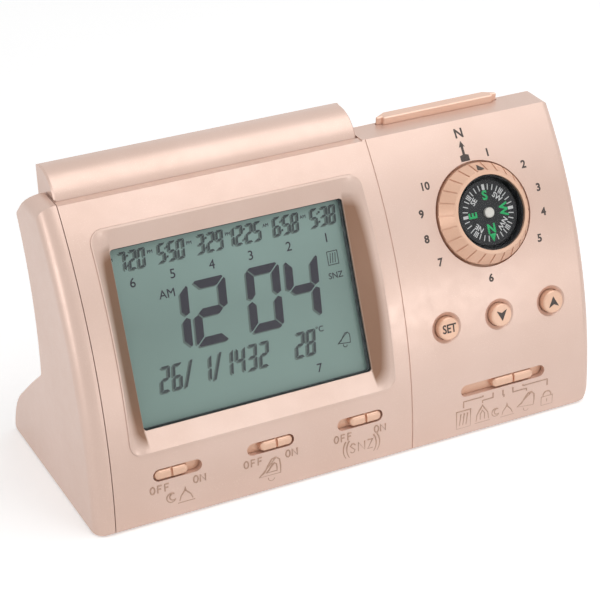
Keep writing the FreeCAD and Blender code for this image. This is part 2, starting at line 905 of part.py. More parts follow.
def screw(z_seat):
    """Self-tapping screw along local Z, its head under z_seat."""
    low = z_seat - screw_head_height
    top = z_seat + screw_length
    return turned([(0, low), (screw_head_radius, low), (screw_head_radius, z_seat), (screw_radius, z_seat),
                   (screw_radius, top), (0, top)])


def cross_recess(z_head):
    long = 2 * screw_radius
    slots = [(long, screw_recess_width), (screw_recess_width, long)]
    return [block(0, 0, a, b, z_head, z_head + screw_recess_depth) for a, b in slots]


def board_screws():
    pins = []
    for x, y, depth, place, s in boss_places():
        pin = screw(-depth - board_thickness)
        pin.translate(Vec(x, y, 0))
        pins.append(seated(pin, place, s))
    for x in key_posts():
        pin = screw(key_board_top - board_thickness)
        pin.translate(Vec(x, bar_middle, 0))
        pins.append(pin)
    return Part.makeCompound(pins)


# Slide switches

def knob(length, skirt_length):
    """Capsule grip parted in the middle, a skirt behind the slot, and a lever for the switch."""
    top = -wall - fit
    grip = stadium(length, knob_width, top, knob_proud)
    crest = [e for e in grip.Edges if all(abs(v.Z - knob_proud) < touch for v in e.Vertexes)]
    grip = grip.makeFillet(knob_round, crest)
    gap = block(0, 0, knob_gap, 2 * knob_width, knob_proud - knob_gap_depth, knob_proud + wall)
    skirt = block(0, 0, skirt_length, skirt_width, top - skirt_thickness, top)
    lever_tip = switch_body_height - switch_board_depth - channel_depth + lever_end_gap
    lever = block(0, 0, lever_length, lever_width, lever_tip, top)
    return grip.cut(gap).fuse([skirt, lever]).removeSplitter()


def switch_body(travel):
    """Slide switch case with an open channel for the lever."""
    high = switch_body_height - switch_board_depth
    channel = travel + lever_length + 2 * channel_gap
    case = block(0, 0, channel + 2 * switch_body_end, switch_body_width, -switch_board_depth, high)
    return case.cut(block(0, 0, channel, channel_width, high - channel_depth, high + wall))


def switch_bodies():
    cases = [seated(switch_body(switch_travel), x, switch_height) for x in switch_places]
    cases.append(seated(switch_body(mode_travel), module_centre, switch_height))
    return Part.makeCompound(cases)


def switch_board():
    low = -switch_board_depth
    reach = switch_board_width / 2
    posts = switch_posts()
    board = box(posts[0] - board_margin, posts[-1] + board_margin, -reach, reach, low - board_thickness, low)
    holes = [rod(hole_radius, low - wall, low + wall, x) for x in posts]
    return seated(board.cut(holes), 0, switch_height)


# Push buttons

def push_button():
    """Round cap with a flange behind the panel and a plunger."""
    top = button_proud
    ceiling = -wall - fit
    base = ceiling - button_flange_thickness
    tip = tact_height + tact_stem_height + button_travel + press_gap - button_board_depth
    rim = button_radius + button_flange
    cap = [(0, tip), (button_plunger_radius, tip), (button_plunger_radius, base), (rim, base), (rim, ceiling)]
    cap += [(button_radius, ceiling), (button_radius, top - button_edge), (button_radius - button_edge, top)]
    return turned(cap + [(0, top)])


def tact_switches():
    high = tact_height - button_board_depth
    case = block(0, 0, tact_size, tact_size, -button_board_depth, high)
    case = case.fuse(rod(tact_stem_radius, high, high + tact_stem_height))
    return Part.makeCompound([seated(case, x, button_height) for x in button_places])


def button_board():
    low = -button_board_depth
    length = 2 * button_pitch + tact_size + 2 * board_margin
    board = block(0, 0, length, button_board_width, low - board_thickness, low)
    holes = [rod(hole_radius, low - wall, low, x - module_centre) for x in button_posts()]
    return seated(board.cut(holes), module_centre, button_height)


# Selector ring and compass

def on_dial(shape):
    return seated(shape, module_centre, dial_height)


def groove_cutter():
    """Three-sided bar down the ring's slope, its edge sunk below the surface."""
    top = Vec(dial_top_radius, 0, dial_proud - dial_edge)
    slope = Vec(dial_radius, 0, dial_base_height) - top
    deep = Vec(0, 1, 0).cross(slope).normalize() * -groove_depth
    side = Vec(0, groove_width, 0)
    face = Part.Face(Part.Wire(chain([top + deep, top - deep + side, top - deep - side])))
    return face.extrude(slope * 1.5)


def selector_ring():
    """Conical ring with radial finger grooves, a seat for the compass and a stem to the switch."""
    r = dial_radius
    under = dial_floor - dial_floor_thickness
    skirt = r - dial_skirt_wall
    flange = r + dial_flange
    flange_top = dial_flange_thickness - dial_skirt_depth
    well = capsule_radius + touch
    ring = turned([
        (0, -stem_length),
        (stem_radius, -stem_length),
        (stem_radius, under),
        (skirt, under),
        (skirt, -dial_skirt_depth),
        (flange, -dial_skirt_depth),
        (flange, flange_top),
        (r, flange_top),
        (r, dial_base_height),
        (dial_top_radius, dial_proud - dial_edge),
        (dial_top_radius - dial_edge, dial_proud),
        (well, dial_proud),
        (well, dial_floor),
        (0, dial_floor),
    ])
    cutter = groove_cutter()
    cuts = [box(stem_radius - stem_flat, big, -big, big, -big, stem_flat_length - stem_length)]
    for n in range(dial_grooves):
        tool = cutter.copy()
        tool.rotate(Vec(0, 0, 0), Vec(0, 0, 1), 360.0 * (n + 0.5) / dial_grooves)
        cuts.append(tool)
    return on_dial(ring.cut(cuts))


def compass_capsule():
    r = capsule_radius
    bottom = dial_floor + capsule_floor
    rim = dial_floor + capsule_height
    cup = [(0, dial_floor), (r, dial_floor), (r, rim), (r - capsule_wall, rim), (r - capsule_wall, bottom)]
    return on_dial(turned(cup + [(0, bottom)]))


def compass_pivot():
    base = dial_floor + capsule_floor
    tip = card_level + card_thickness + pivot_rise
    pin = [(0, base), (pivot_base_radius, base), (pivot_radius, base + pivot_base_height)]
    return on_dial(turned(pin + [(pivot_radius, tip - pivot_point), (0, tip)]))


def compass_card():
    top = card_level + card_thickness
    bore = pivot_radius + running
    return on_dial(rod(card_radius, card_level, top).cut(rod(bore, card_level, top)))


def compass_hub():
    low = card_level + card_thickness
    top = low + compass_hub_height
    r = compass_hub_radius
    bore = pivot_radius + running
    hub = [(0, low + pivot_rise + press_gap), (bore, low + pivot_rise + press_gap - pivot_point), (bore, low)]
    hub += [(r, low), (r, top - compass_hub_round), (r - compass_hub_round, top), (0, top)]
    return on_dial(turned(hub))


def compass_lens():
    low = dial_floor + capsule_height
    return on_dial(rod(capsule_radius, low, low + lens_thickness))


def selector_switch():
    low = -selector_board_depth
    high = low + selector_size
    case = rod(selector_radius, low, high)
    base = block(0, 0, selector_base, selector_base_width, low, low + selector_base_height)
    bore = rod(stem_radius + running, -stem_length - press_gap, high + wall)
    return on_dial(case.fuse(base).cut(bore))


def selector_board():
    low = -selector_board_depth
    size = 2 * (selector_posts()[-1][0] + board_margin)
    board = rounded(size, size, board_corner, low - board_thickness, low)
    holes = [rod(hole_radius, low - wall, low, x, y) for x, y in selector_posts()]
    return on_dial(board.cut(holes))


# Snooze bar and light key

def bar_outline():
    """Side view of the bar: flat front foot, quarter-round top and a steep back."""
    crest = at(bar_back - bar_back_round, bar_top)
    shoulder = at(bar_front, bar_top - bar_shoulder_drop)
    back = at(bar_back, bar_top - bar_back_drop)
    heel = at(bar_back - bar_back_lean, bar_low)
    foot = at(bar_front, bar_low)
    return [
        line(foot, heel),
        line(heel, back),
        bowed(back, crest, bar_back_round / 4),
        bowed(crest, shoulder, bar_bulge),
        line(shoulder, foot),
    ]


def spring_places():
    return [bar_left + spring_inset, bar_right - spring_inset]


def snooze_bar():
    """Press bar, hollow underneath, with spring stubs, hold-down hooks and a switch plunger."""
    shell = drawn(bar_outline(), bar_left, bar_right)
    ends = [e for x in (bar_left, bar_right) for e in end_edges(shell, x, bar_back, bar_low + wall)]
    shell = shell.makeChamfer(bar_end_edge, ends)
    solid = drawn(bar_outline(), bar_left + touch, bar_right - touch)
    hollow = Part.Face(Part.Wire(bar_outline())).makeOffset2D(-bar_wall)
    hollow.translate(Vec(bar_left + bar_wall, 0, 0))
    hollow = hollow.extrude(Vec(bar_right - bar_left - 2 * bar_wall, 0, 0))
    mouth = box(bar_left + bar_wall, bar_right - bar_wall, bar_front + bar_wall,
                bar_back - bar_back_lean - bar_wall, bar_low - wall, bar_low + 2 * bar_wall)
    shell = shell.cut([hollow, mouth])
    adds = []
    pad = trough_floor + spring_height + 2 * spring_wire + 2 * touch
    for x in spring_places():
        adds.append(rod(spring_radius + 2 * spring_wire, pad, bar_top, x, bar_middle))
        adds.append(rod(spring_stub_radius, pad - spring_stub_length, bar_top, x, bar_middle))
    barb_top = trough_floor - wall - press_gap
    for x, way in hook_places():
        leg = block(x, bar_middle, hook_thickness, hook_width, barb_top - hook_barb_height, bar_top)
        tip = x + way * (hook_thickness + hook_barb) / 2
        barb = block(tip, bar_middle, hook_barb, hook_width, barb_top - hook_barb_height, barb_top)
        adds.append(leg.fuse(barb))
    plunger_low = key_tact_top + bar_travel + press_gap
    adds.append(block(bar_plunger_x, bar_middle, bar_plunger_size, bar_plunger_size, plunger_low, bar_top))
    under = box(-big, big, 0, big, 0, bar_low)
    adds = [piece.common(solid.fuse(under)) for piece in adds]
    return shell.fuse(adds).removeSplitter()


def snooze_springs():
    springs = []
    for x in spring_places():
        spring = coil(spring_radius, spring_wire, spring_height, spring_turns)
        spring.translate(Vec(x, bar_middle, trough_floor + touch))
        springs.append(spring)
    return Part.makeCompound(springs)


def light_key():
    """Long hollow key with set-back ends, a flange under the top wall and a plunger."""
    top = top_z + key_proud
    low = top_z - key_skirt
    cap = key_prism(0, low, top)
    crest = [e for e in cap.Edges if all(abs(v.Z - top) < touch for v in e.Vertexes)]
    cap = cap.makeChamfer(key_edge, crest)
    flange = key_prism(key_flange, low - key_flange_thickness, low)
    hollow = key_prism(-key_wall, low - wall, top - key_wall)
    plunger = rod(key_plunger_radius, key_tact_top + key_travel + press_gap, top - key_wall / 2,
                  key_plunger_x, key_middle)
    return cap.fuse(flange).cut(hollow).fuse(plunger).removeSplitter()


def key_board():
    left = key_posts()[0] - board_margin
    right = key_plunger_x + tact_size / 2 + board_margin
    low = key_board_top - board_thickness
    board = box(left, right, bar_middle - key_board_front, bar_middle + key_board_back, low, key_board_top)
    return board.cut([rod(hole_radius, low - wall, key_board_top + wall, x, bar_middle) for x in key_posts()])


def key_switches():
    high = key_board_top + key_tact_height
    cases = []
    for x, y in ((bar_plunger_x, bar_middle), (key_plunger_x, key_middle)):
        case = block(x, y, tact_size, tact_size, key_board_top, high)
        cases.append(case.fuse(rod(button_plunger_radius, high, key_tact_top, x, y)))
    return Part.makeCompound(cases)


# Speaker

def speaker_frame():
    r = speaker_radius
    floor = -basket_depth
    basket = turned([
        (pole_radius + cone_thickness, floor),
        (magnet_radius, floor),
        (speaker_slope_start + speaker_skin, -speaker_rim_thickness),
        (r, -speaker_rim_thickness),
        (r, 0),
        (r - speaker_rim, 0),
        (r - speaker_rim, -speaker_skin),
        (speaker_slope_start, -speaker_skin),
        (speaker_slope_end, floor + speaker_skin),
        (pole_radius + cone_thickness, floor + speaker_skin),
    ])
    return speaker_seated(basket)


def speaker_cone():
    edge = speaker_radius - speaker_rim - touch
    low = touch - speaker_skin
    r = cone_dome_radius
    dome = cone_dome_rise - cone_depth
    back = [(0, dome), (r, -cone_depth), (speaker_slope_start, low), (edge, low)]
    front = [(radius, level + cone_thickness) for radius, level in reversed(back)]
    return speaker_seated(turned(back + front))


def speaker_magnet():
    magnet = rod(magnet_radius, -speaker_depth, -basket_depth)
    return speaker_seated(magnet.fuse(rod(pole_radius, -basket_depth, pole_height - basket_depth)))


# Batteries

def battery_door():
    plate = body_hull().common(door_space(0))
    rib = stadium(door_rib_length, door_rib_width, -wall, door_rib_depth)
    grooves = []
    for n in range(door_rib_count):
        groove = rib.copy()
        groove.translate(Vec(0, door_front + door_rib_inset + n * door_rib_pitch, 0))
        grooves.append(groove)
    return plate.cut(grooves)


def laid(shape, n):
    """Lays a shape along cell n: local Z runs down the bay from the cell's flat end."""
    way = 1 - 2 * n
    placed = shape.copy()
    placed.rotate(Vec(0, 0, 0), Vec(0, 1, 0), 90 * way)
    placed.translate(Vec(-way * bay_length / 2, cell_lines[n], cell_level))
    return placed


def battery_cells():
    r = cell_radius
    shoulder = cell_length - cell_pip_height
    can = [(0, 0), (r - cell_edge, 0), (r, cell_edge), (r, shoulder - cell_edge), (r - cell_edge, shoulder)]
    pip = [(cell_pip_radius, shoulder), (cell_pip_radius, cell_length), (0, cell_length)]
    cell = turned(can + pip)
    cell.translate(Vec(0, 0, contact_gap))
    return Part.makeCompound([laid(cell, n) for n in (0, 1)])


def battery_contacts():
    """For each cell a plate and coil at the flat end and a plate with a boss at the pip."""
    plate = block(0, 0, contact_size, contact_size, touch, contact_thickness)
    spring_room = contact_gap - contact_thickness - 2 * touch
    spring = coil(contact_spring_radius, contact_wire, spring_room - 2 * contact_wire, contact_turns)
    spring.translate(Vec(0, 0, contact_thickness + touch))
    end = bay_length - contact_thickness
    boss = rod(contact_bump_radius, contact_gap + cell_length + touch, end + touch)
    stamped = block(0, 0, contact_size, contact_size, end, bay_length - touch).fuse(boss)
    return Part.makeCompound([laid(piece, n) for piece in (plate, spring, stamped) for n in (0, 1)])


# The finished frame: centred in plan, with the feet standing on Z = 0

hull_box = body_hull().optimalBoundingBox(False, False)
origin = Vec(0, (hull_box.YMin + hull_box.YMax) / 2, -foot_stand)


def save(shape, node):
    placed = shape.copy()
    placed.translate(-origin)
    placed.exportStep("parts/" + node + ".step")


save(front_housing(), "front_housing")
save(rear_housing(), "rear_housing")
save(housing_screws(), "housing_screws")
save(rubber_feet(), "rubber_feet")

save(display_bezel(), "display_bezel")
for node, piece in display_stack().items():
    save(piece, node)
save(board_chips(), "board_chips")
save(board_screws(), "board_screws")

for node, place in zip(("azan_switch_knob", "alarm_switch_knob", "snooze_switch_knob"), switch_rests):
    save(seated(knob(switch_knob_length, switch_skirt), place, switch_height), node)
save(seated(knob(mode_knob_length, mode_skirt), mode_rest, switch_height), "mode_switch_knob")
save(switch_bodies(), "switch_bodies")
save(switch_board(), "switch_board")

for node, place in zip(("set_button", "down_button", "up_button"), button_places):
    save(seated(push_button(), place, button_height), node)
save(tact_switches(), "tact_switches")
save(button_board(), "button_board")

save(selector_ring(), "selector_ring")
save(compass_capsule(), "compass_capsule")
save(compass_pivot(), "compass_pivot")
save(compass_card(), "compass_card")
save(compass_hub(), "compass_hub")
save(compass_lens(), "compass_lens")
save(selector_switch(), "selector_switch")
save(selector_board(), "selector_board")

save(snooze_bar(), "snooze_bar")
save(snooze_springs(), "snooze_springs")
save(light_key(), "light_key")
save(key_board(), "key_board")
save(key_switches(), "key_switches")

save(speaker_frame(), "speaker_frame")
save(speaker_cone(), "speaker_cone")
save(speaker_magnet(), "speaker_magnet")

save(battery_door(), "battery_door")
save(battery_cells(), "battery_cells")
save(battery_contacts(), "battery_contacts")
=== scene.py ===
"""Azan clock: finishes, prints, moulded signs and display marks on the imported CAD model, in metres."""

import json
import math

import bmesh
import bpy
from mathutils import Matrix, Vector

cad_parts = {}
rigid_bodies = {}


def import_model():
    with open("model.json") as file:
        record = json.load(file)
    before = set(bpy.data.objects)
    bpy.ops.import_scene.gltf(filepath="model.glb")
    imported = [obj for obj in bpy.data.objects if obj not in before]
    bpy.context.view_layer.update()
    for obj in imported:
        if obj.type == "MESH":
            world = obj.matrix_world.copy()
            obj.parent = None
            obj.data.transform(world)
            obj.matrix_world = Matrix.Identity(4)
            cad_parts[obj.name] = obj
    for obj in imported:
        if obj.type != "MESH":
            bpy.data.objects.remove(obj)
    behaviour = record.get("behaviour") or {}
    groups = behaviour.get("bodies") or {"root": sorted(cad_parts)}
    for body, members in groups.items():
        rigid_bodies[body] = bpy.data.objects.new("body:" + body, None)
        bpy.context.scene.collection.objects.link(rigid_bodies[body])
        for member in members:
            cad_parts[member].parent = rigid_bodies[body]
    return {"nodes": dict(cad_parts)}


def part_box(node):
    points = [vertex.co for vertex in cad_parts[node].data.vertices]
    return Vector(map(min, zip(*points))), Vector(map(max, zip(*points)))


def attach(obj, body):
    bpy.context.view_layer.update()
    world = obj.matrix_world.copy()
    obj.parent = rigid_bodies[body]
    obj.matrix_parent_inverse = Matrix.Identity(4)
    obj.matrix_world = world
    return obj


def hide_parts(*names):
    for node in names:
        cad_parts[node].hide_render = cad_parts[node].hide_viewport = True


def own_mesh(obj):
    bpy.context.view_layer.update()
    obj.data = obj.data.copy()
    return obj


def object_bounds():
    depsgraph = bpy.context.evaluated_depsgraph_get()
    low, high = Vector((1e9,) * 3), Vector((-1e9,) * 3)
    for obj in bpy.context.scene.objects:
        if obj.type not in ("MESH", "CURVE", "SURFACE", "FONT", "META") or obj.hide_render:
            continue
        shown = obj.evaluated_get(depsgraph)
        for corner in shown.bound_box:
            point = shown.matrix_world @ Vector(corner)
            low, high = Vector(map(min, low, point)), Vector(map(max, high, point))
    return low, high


# Blender opens with objects of its own.
for leftover in list(bpy.data.objects):
    bpy.data.objects.remove(leftover)

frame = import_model()
cad_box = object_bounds()

# ---------------------------------------------------------------- places on the object

# The face is one arc, upright at the housing's front foot. Heights on it are lengths up that arc.
FACE_RADIUS = 0.1674
FACE_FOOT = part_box("rear_housing")[0]
ARC_Y, ARC_Z = FACE_FOOT.y + FACE_RADIUS, FACE_FOOT.z

BUTTON_HEIGHT = 0.0444
BUTTON_PROUD = 0.0020
DIAL_HEIGHT = 0.0819
DIAL_RADIUS = 0.0185
DIAL_TOP_RADIUS = 0.0151
DIAL_BASE = 0.0006
DIAL_PROUD = 0.0063
CARD_PROUD = 0.0035
DISPLAY_HEIGHT = 0.0665
GLASS_DEPTH = 0.0102

SWITCH_TRAVEL = 0.0045
MODE_STEP = 0.0043
CORNER_RADIUS = 0.0055


def middle(node):
    """The middle of a CAD node's box."""
    low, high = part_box(node)
    return (low + high) / 2


display_x = middle("display_window").x
dial_x = middle("selector_ring").x


def on_face(x, s, height=0.0):
    """A point over the curved face: x across, s up its arc, height out of it."""
    angle = s / FACE_RADIUS
    reach = FACE_RADIUS + height
    return Vector((x, ARC_Y - reach * math.cos(angle), ARC_Z + reach * math.sin(angle)))


def face_frame(x, s, height=0.0):
    """Axes that touch the face there: across, up the face, out of it."""
    angle = s / FACE_RADIUS
    up = Vector((0, math.sin(angle), math.cos(angle)))
    out = Vector((0, -math.cos(angle), math.sin(angle)))
    turn = Matrix((Vector((1, 0, 0)), up, out)).transposed().to_4x4()
    return Matrix.Translation(on_face(x, s, height)) @ turn


def placed(axes):
    """Places for flat marks: across, up and out along the given axes."""
    return lambda x, y, height: axes @ Vector((x, y, height))


def face_placed(x_middle):
    """Places for marks that follow the curved face: across from x_middle, up the arc and out."""
    return lambda x, y, height: on_face(x_middle + x, y, height)


# ---------------------------------------------------------------- finishes


def shade(red, green, blue):
    """A colour written as 0 to 255 on a screen, in linear light."""
    def linear(value):
        value /= 255
        return value / 12.92 if value <= 0.04045 else ((value + 0.055) / 1.055) ** 2.4
    return (linear(red), linear(green), linear(blue), 1.0)


BLACK, WHITE = shade(0, 0, 0), shade(255, 255, 255)
NOISE_LOW, NOISE_HIGH = 0.3, 0.7  # nearly all of a noise's levels lie between these


class Finish:
    """A material in the making: its shader, and the noises and ramps that feed it."""

    def __init__(self, name, **sockets):
        self.material = bpy.data.materials.new(name)
        self.material.use_nodes = True
        self.nodes = self.material.node_tree.nodes
        self.links = self.material.node_tree.links
        self.shader = next(node for node in self.nodes if node.type == "BSDF_PRINCIPLED")
        self.spot = self.nodes.new("ShaderNodeTexCoord").outputs["Object"]
        for socket, value in sockets.items():
            self.shader.inputs[socket.replace("_", " ")].default_value = value

    def noise(self, grain, detail=3.0):
        """Noise with grains about so many metres across."""
        noise = self.nodes.new("ShaderNodeTexNoise")
        noise.inputs["Scale"].default_value = 1 / grain
        noise.inputs["Detail"].default_value = detail
        self.links.new(self.spot, noise.inputs["Vector"])
        return noise.outputs["Fac"]

    def cells(self, grain):
        """Random cells about so many metres across, each with its own level."""
        cells = self.nodes.new("ShaderNodeTexVoronoi")
        cells.inputs["Scale"].default_value = 1 / grain
        self.links.new(self.spot, cells.inputs["Vector"])
        return cells.outputs["Color"]

    def along(self, axis):
        """The distance along an axis of the object."""
        split = self.nodes.new("ShaderNodeSeparateXYZ")
        self.links.new(self.spot, split.inputs["Vector"])
        return split.outputs[axis]

    def span(self, level, start, end, low=0.0, high=1.0):
        """A level taken from start..end to low..high."""
        ramp = self.nodes.new("ShaderNodeMapRange")
        for socket, value in zip(("From Min", "From Max", "To Min", "To Max"), (start, end, low, high)):
            ramp.inputs[socket].default_value = value
        self.links.new(level, ramp.inputs["Value"])
        return ramp.outputs["Result"]

    def ramp(self, level, *stops):
        """Colours along a level, given as (place, colour)."""
        ramp = self.nodes.new("ShaderNodeValToRGB")
        marks = ramp.color_ramp.elements
        while len(marks) < len(stops):
            marks.new(0.5)
        for mark, (place, colour) in zip(marks, stops):
            mark.position = place
            mark.color = colour
        self.links.new(level, ramp.inputs["Fac"])
        return ramp.outputs["Color"]

    def mixed(self, level, first, second):
        """Two colours mixed by a level; the second may be a plain one."""
        mix = self.nodes.new("ShaderNodeMix")
        mix.data_type = "RGBA"
        factor, start, end = mix.inputs[0], mix.inputs[6], mix.inputs[7]
        self.links.new(level, factor)
        self.links.new(first, start)
        if isinstance(second, tuple):
            end.default_value = second
        else:
            self.links.new(second, end)
        return mix.outputs[2]

    def joined(self, operation, first, second):
        """Two levels added or multiplied."""
        result = self.nodes.new("ShaderNodeMath")
        result.operation = operation
        self.links.new(first, result.inputs[0])
        self.links.new(second, result.inputs[1])
        return result.outputs[0]

    def colour(self, colours):
        """Sets the base colour."""
        self.links.new(colours, self.shader.inputs["Base Color"])
        return self

    def rough(self, level, low, high):
        """Sets a roughness that follows a noise between two values."""
        roughness = self.span(level, NOISE_LOW, NOISE_HIGH, low, high)
        self.links.new(roughness, self.shader.inputs["Roughness"])
        return self

    def bump(self, level, depth):
        """Sets a relief so many metres deep that follows a level."""
        bump = self.nodes.new("ShaderNodeBump")
        bump.inputs["Distance"].default_value = depth
        self.links.new(level, bump.inputs["Height"])
        self.links.new(bump.outputs["Normal"], self.shader.inputs["Normal"])
        return self


def two_tone(finish, grain, dark, light, **noise):
    """Base colour that drifts between two shades over grains of a size."""
    level = finish.noise(grain=grain, **noise)
    return finish.colour(finish.ramp(level, (0.35, dark), (0.65, light)))


def painted(name, dark, light, flake, metallic, gloss):
    """Metallic paint over moulded plastic: fine flakes, a slow drift and a faint orange peel."""
    finish = Finish(name, Metallic=metallic, Coat_Weight=0.25, Coat_Roughness=0.18)
    drift = finish.ramp(finish.noise(grain=0.035, detail=2.0), (0.35, dark), (0.65, light))
    flakes = finish.ramp(finish.noise(grain=0.00022, detail=1.0), (0.62, BLACK), (0.78, WHITE))
    sparkle = finish.ramp(finish.noise(grain=0.012, detail=1.0), (0.2, flake), (0.8, light))
    finish.colour(finish.mixed(flakes, drift, sparkle))
    finish.rough(finish.noise(grain=0.004), gloss - 0.03, gloss + 0.04)
    peel = finish.noise(grain=0.0009, detail=1.0)
    grain = finish.span(finish.noise(grain=0.00015, detail=0.0), 0, 1, 0, 0.3)
    return finish.bump(finish.joined("ADD", peel, grain), depth=0.000006)


def funnel(name, dark, light, deep_shade, flake, metallic, gloss):
    """The paint of the frame round the display, with painted shade deep in its side walls, darker towards
    the window.
    """
    finish = painted(name, dark, light, flake, metallic, gloss)
    coat = finish.shader.inputs["Base Color"].links[0].from_socket

    # How far a spot lies from the face's axis, which runs across the object.
    flattened = finish.nodes.new("ShaderNodeMapping")
    flattened.inputs["Scale"].default_value = (0, 1, 1)
    finish.links.new(finish.spot, flattened.inputs["Vector"])
    radius = finish.nodes.new("ShaderNodeVectorMath")
    radius.operation = "DISTANCE"
    radius.inputs[1].default_value = (0, ARC_Y, ARC_Z)
    finish.links.new(flattened.outputs["Vector"], radius.inputs[0])
    deep = finish.span(radius.outputs["Value"], FACE_RADIUS - 0.0003, FACE_RADIUS - 0.0024)

    # The painted shade starts on the walls just inside the window's sides, and fades out over its top.
    low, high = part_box("display_window")
    wall_start, wall_full = 0.0024, 0.0016
    across = finish.along("X")
    left = finish.span(across, low.x + wall_start, low.x + wall_full)
    right = finish.span(across, high.x - wall_start, high.x - wall_full)
    under_top = finish.span(finish.along("Z"), high.z + 0.001, high.z - 0.004)
    # Painted shade: the deeper the side walls run towards the window, the more the paint turns to the dark
    # deep_shade colour.
    walls = finish.joined("MULTIPLY", finish.joined("ADD", left, right), deep)
    walls = finish.joined("MULTIPLY", walls, under_top)
    return finish.colour(finish.mixed(walls, coat, deep_shade))


def moulded(name, dark, light, gloss, grain=0.0006, depth=0.000012, **sockets):
    """Plain moulded plastic or rubber: a slow drift of colour and the fine grain of its mould."""
    finish = two_tone(Finish(name, **sockets), grain=0.006, dark=dark, light=light)
    finish.rough(finish.noise(grain=grain * 4), gloss - 0.05, gloss + 0.06)
    return finish.bump(finish.noise(grain=grain, detail=4.0), depth=depth).material


def metal(name, dark, light, gloss):
    """Drawn, stamped or sintered metal: one mottle in its colour, gloss and height."""
    finish = Finish(name, Metallic=1.0)
    mottle = finish.noise(grain=0.0009, detail=5.0)
    finish.colour(finish.ramp(mottle, (NOISE_LOW, dark), (NOISE_HIGH, light)))
    finish.rough(mottle, gloss - 0.06, gloss + 0.08)
    return finish.bump(mottle, depth=0.000008).material


def clear(name):
    """Clear plastic with a hair of scuff in it."""
    finish = Finish(name, Alpha=0.06, IOR=1.49)
    two_tone(finish, grain=0.004, dark=shade(20, 24, 22), light=shade(38, 42, 40))
    finish.rough(finish.noise(grain=0.0015, detail=5.0), 0.03, 0.09)
    return finish.bump(finish.noise(grain=0.012, detail=1.0), depth=0.000004).material


def display_glass(name):
    """The grey-green face of the display cell, with painted light: lighter at its foot and top than in the
    middle.
    """
    finish = Finish(name, Specular_IOR_Level=0.3)
    low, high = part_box("lcd_front_glass")
    height = finish.span(finish.along("Z"), low.z, high.z)
    clouds = finish.span(finish.noise(grain=0.02, detail=2.0), NOISE_LOW, NOISE_HIGH, -0.06, 0.06)
    # Painted light and shade: the colour follows the height, and the clouds add the cell's own uneven tone.
    finish.colour(finish.ramp(
        finish.joined("ADD", height, clouds),
        (0.0, shade(152, 179, 171)), (0.55, shade(147, 172, 165)), (1.0, shade(163, 190, 183)),
    ))
    finish.rough(finish.noise(grain=0.002), 0.28, 0.36)
    return finish.bump(finish.noise(grain=0.0003, detail=1.0), depth=0.000003).material


def circuit_board(name):
    """Green solder mask with the tracks under it showing as lighter runs."""
    finish = Finish(name, Specular_IOR_Level=0.5)
    runs = finish.nodes.new("ShaderNodeTexBrick")
    runs.inputs["Scale"].default_value = 160
    runs.inputs["Mortar Size"].default_value = 0.06
    runs.inputs["Color1"].default_value = shade(28, 92, 52)
    runs.inputs["Color2"].default_value = shade(34, 104, 60)
    runs.inputs["Mortar"].default_value = shade(66, 140, 84)
    finish.links.new(finish.spot, runs.inputs["Vector"])
    finish.colour(runs.outputs["Color"])
    finish.rough(finish.noise(grain=0.001), 0.35, 0.45)
    return finish.bump(runs.outputs["Fac"], depth=0.00002).material


def cell_case(name):
    """Plain cell wrap: steel at the ends, one coloured band and a dark body."""
    finish = Finish(name, Metallic=0.35)
    low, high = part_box("battery_cells")
    place = finish.span(finish.along("X"), low.x, high.x)
    wobble = finish.span(finish.noise(grain=0.0004), NOISE_LOW, NOISE_HIGH, -0.002, 0.002)
    finish.colour(finish.ramp(
        finish.joined("ADD", place, wobble),
        (0.0, shade(176, 178, 180)), (0.035, shade(186, 188, 190)), (0.045, shade(38, 40, 44)),
        (0.3, shade(44, 46, 50)), (0.31, shade(176, 120, 62)), (0.5, shade(186, 130, 70)),
        (0.51, shade(40, 42, 46)), (0.955, shade(46, 48, 52)), (0.965, shade(186, 188, 190)),
    ))
    finish.rough(finish.noise(grain=0.002), 0.26, 0.36)
    return finish.bump(finish.noise(grain=0.0015), depth=0.00001).material


def paper(name):
    """Pressed paper of a speaker cone, with its fibres."""
    finish = Finish(name, Specular_IOR_Level=0.2)
    two_tone(finish, grain=0.0012, dark=shade(46, 44, 42), light=shade(66, 63, 60), detail=6.0)
    finish.rough(finish.noise(grain=0.001), 0.8, 0.95)
    return finish.bump(finish.noise(grain=0.0007, detail=8.0), depth=0.00006).material


def foamed(name):
    """Open foam: small cells."""
    finish = Finish(name, Specular_IOR_Level=0.2)
    two_tone(finish, grain=0.003, dark=shade(92, 98, 100), light=shade(112, 118, 120))
    finish.rough(finish.noise(grain=0.001), 0.85, 0.97)
    return finish.bump(finish.cells(grain=0.0005), depth=0.0001).material


def ink(name, dark, light, gloss=0.5):
    """A printed mark: slightly uneven cover."""
    finish = two_tone(Finish(name), grain=0.0007, dark=dark, light=light, detail=5.0)
    finish.rough(finish.noise(grain=0.0008), gloss - 0.06, gloss + 0.06)
    return finish.bump(finish.noise(grain=0.0002), depth=0.000004).material


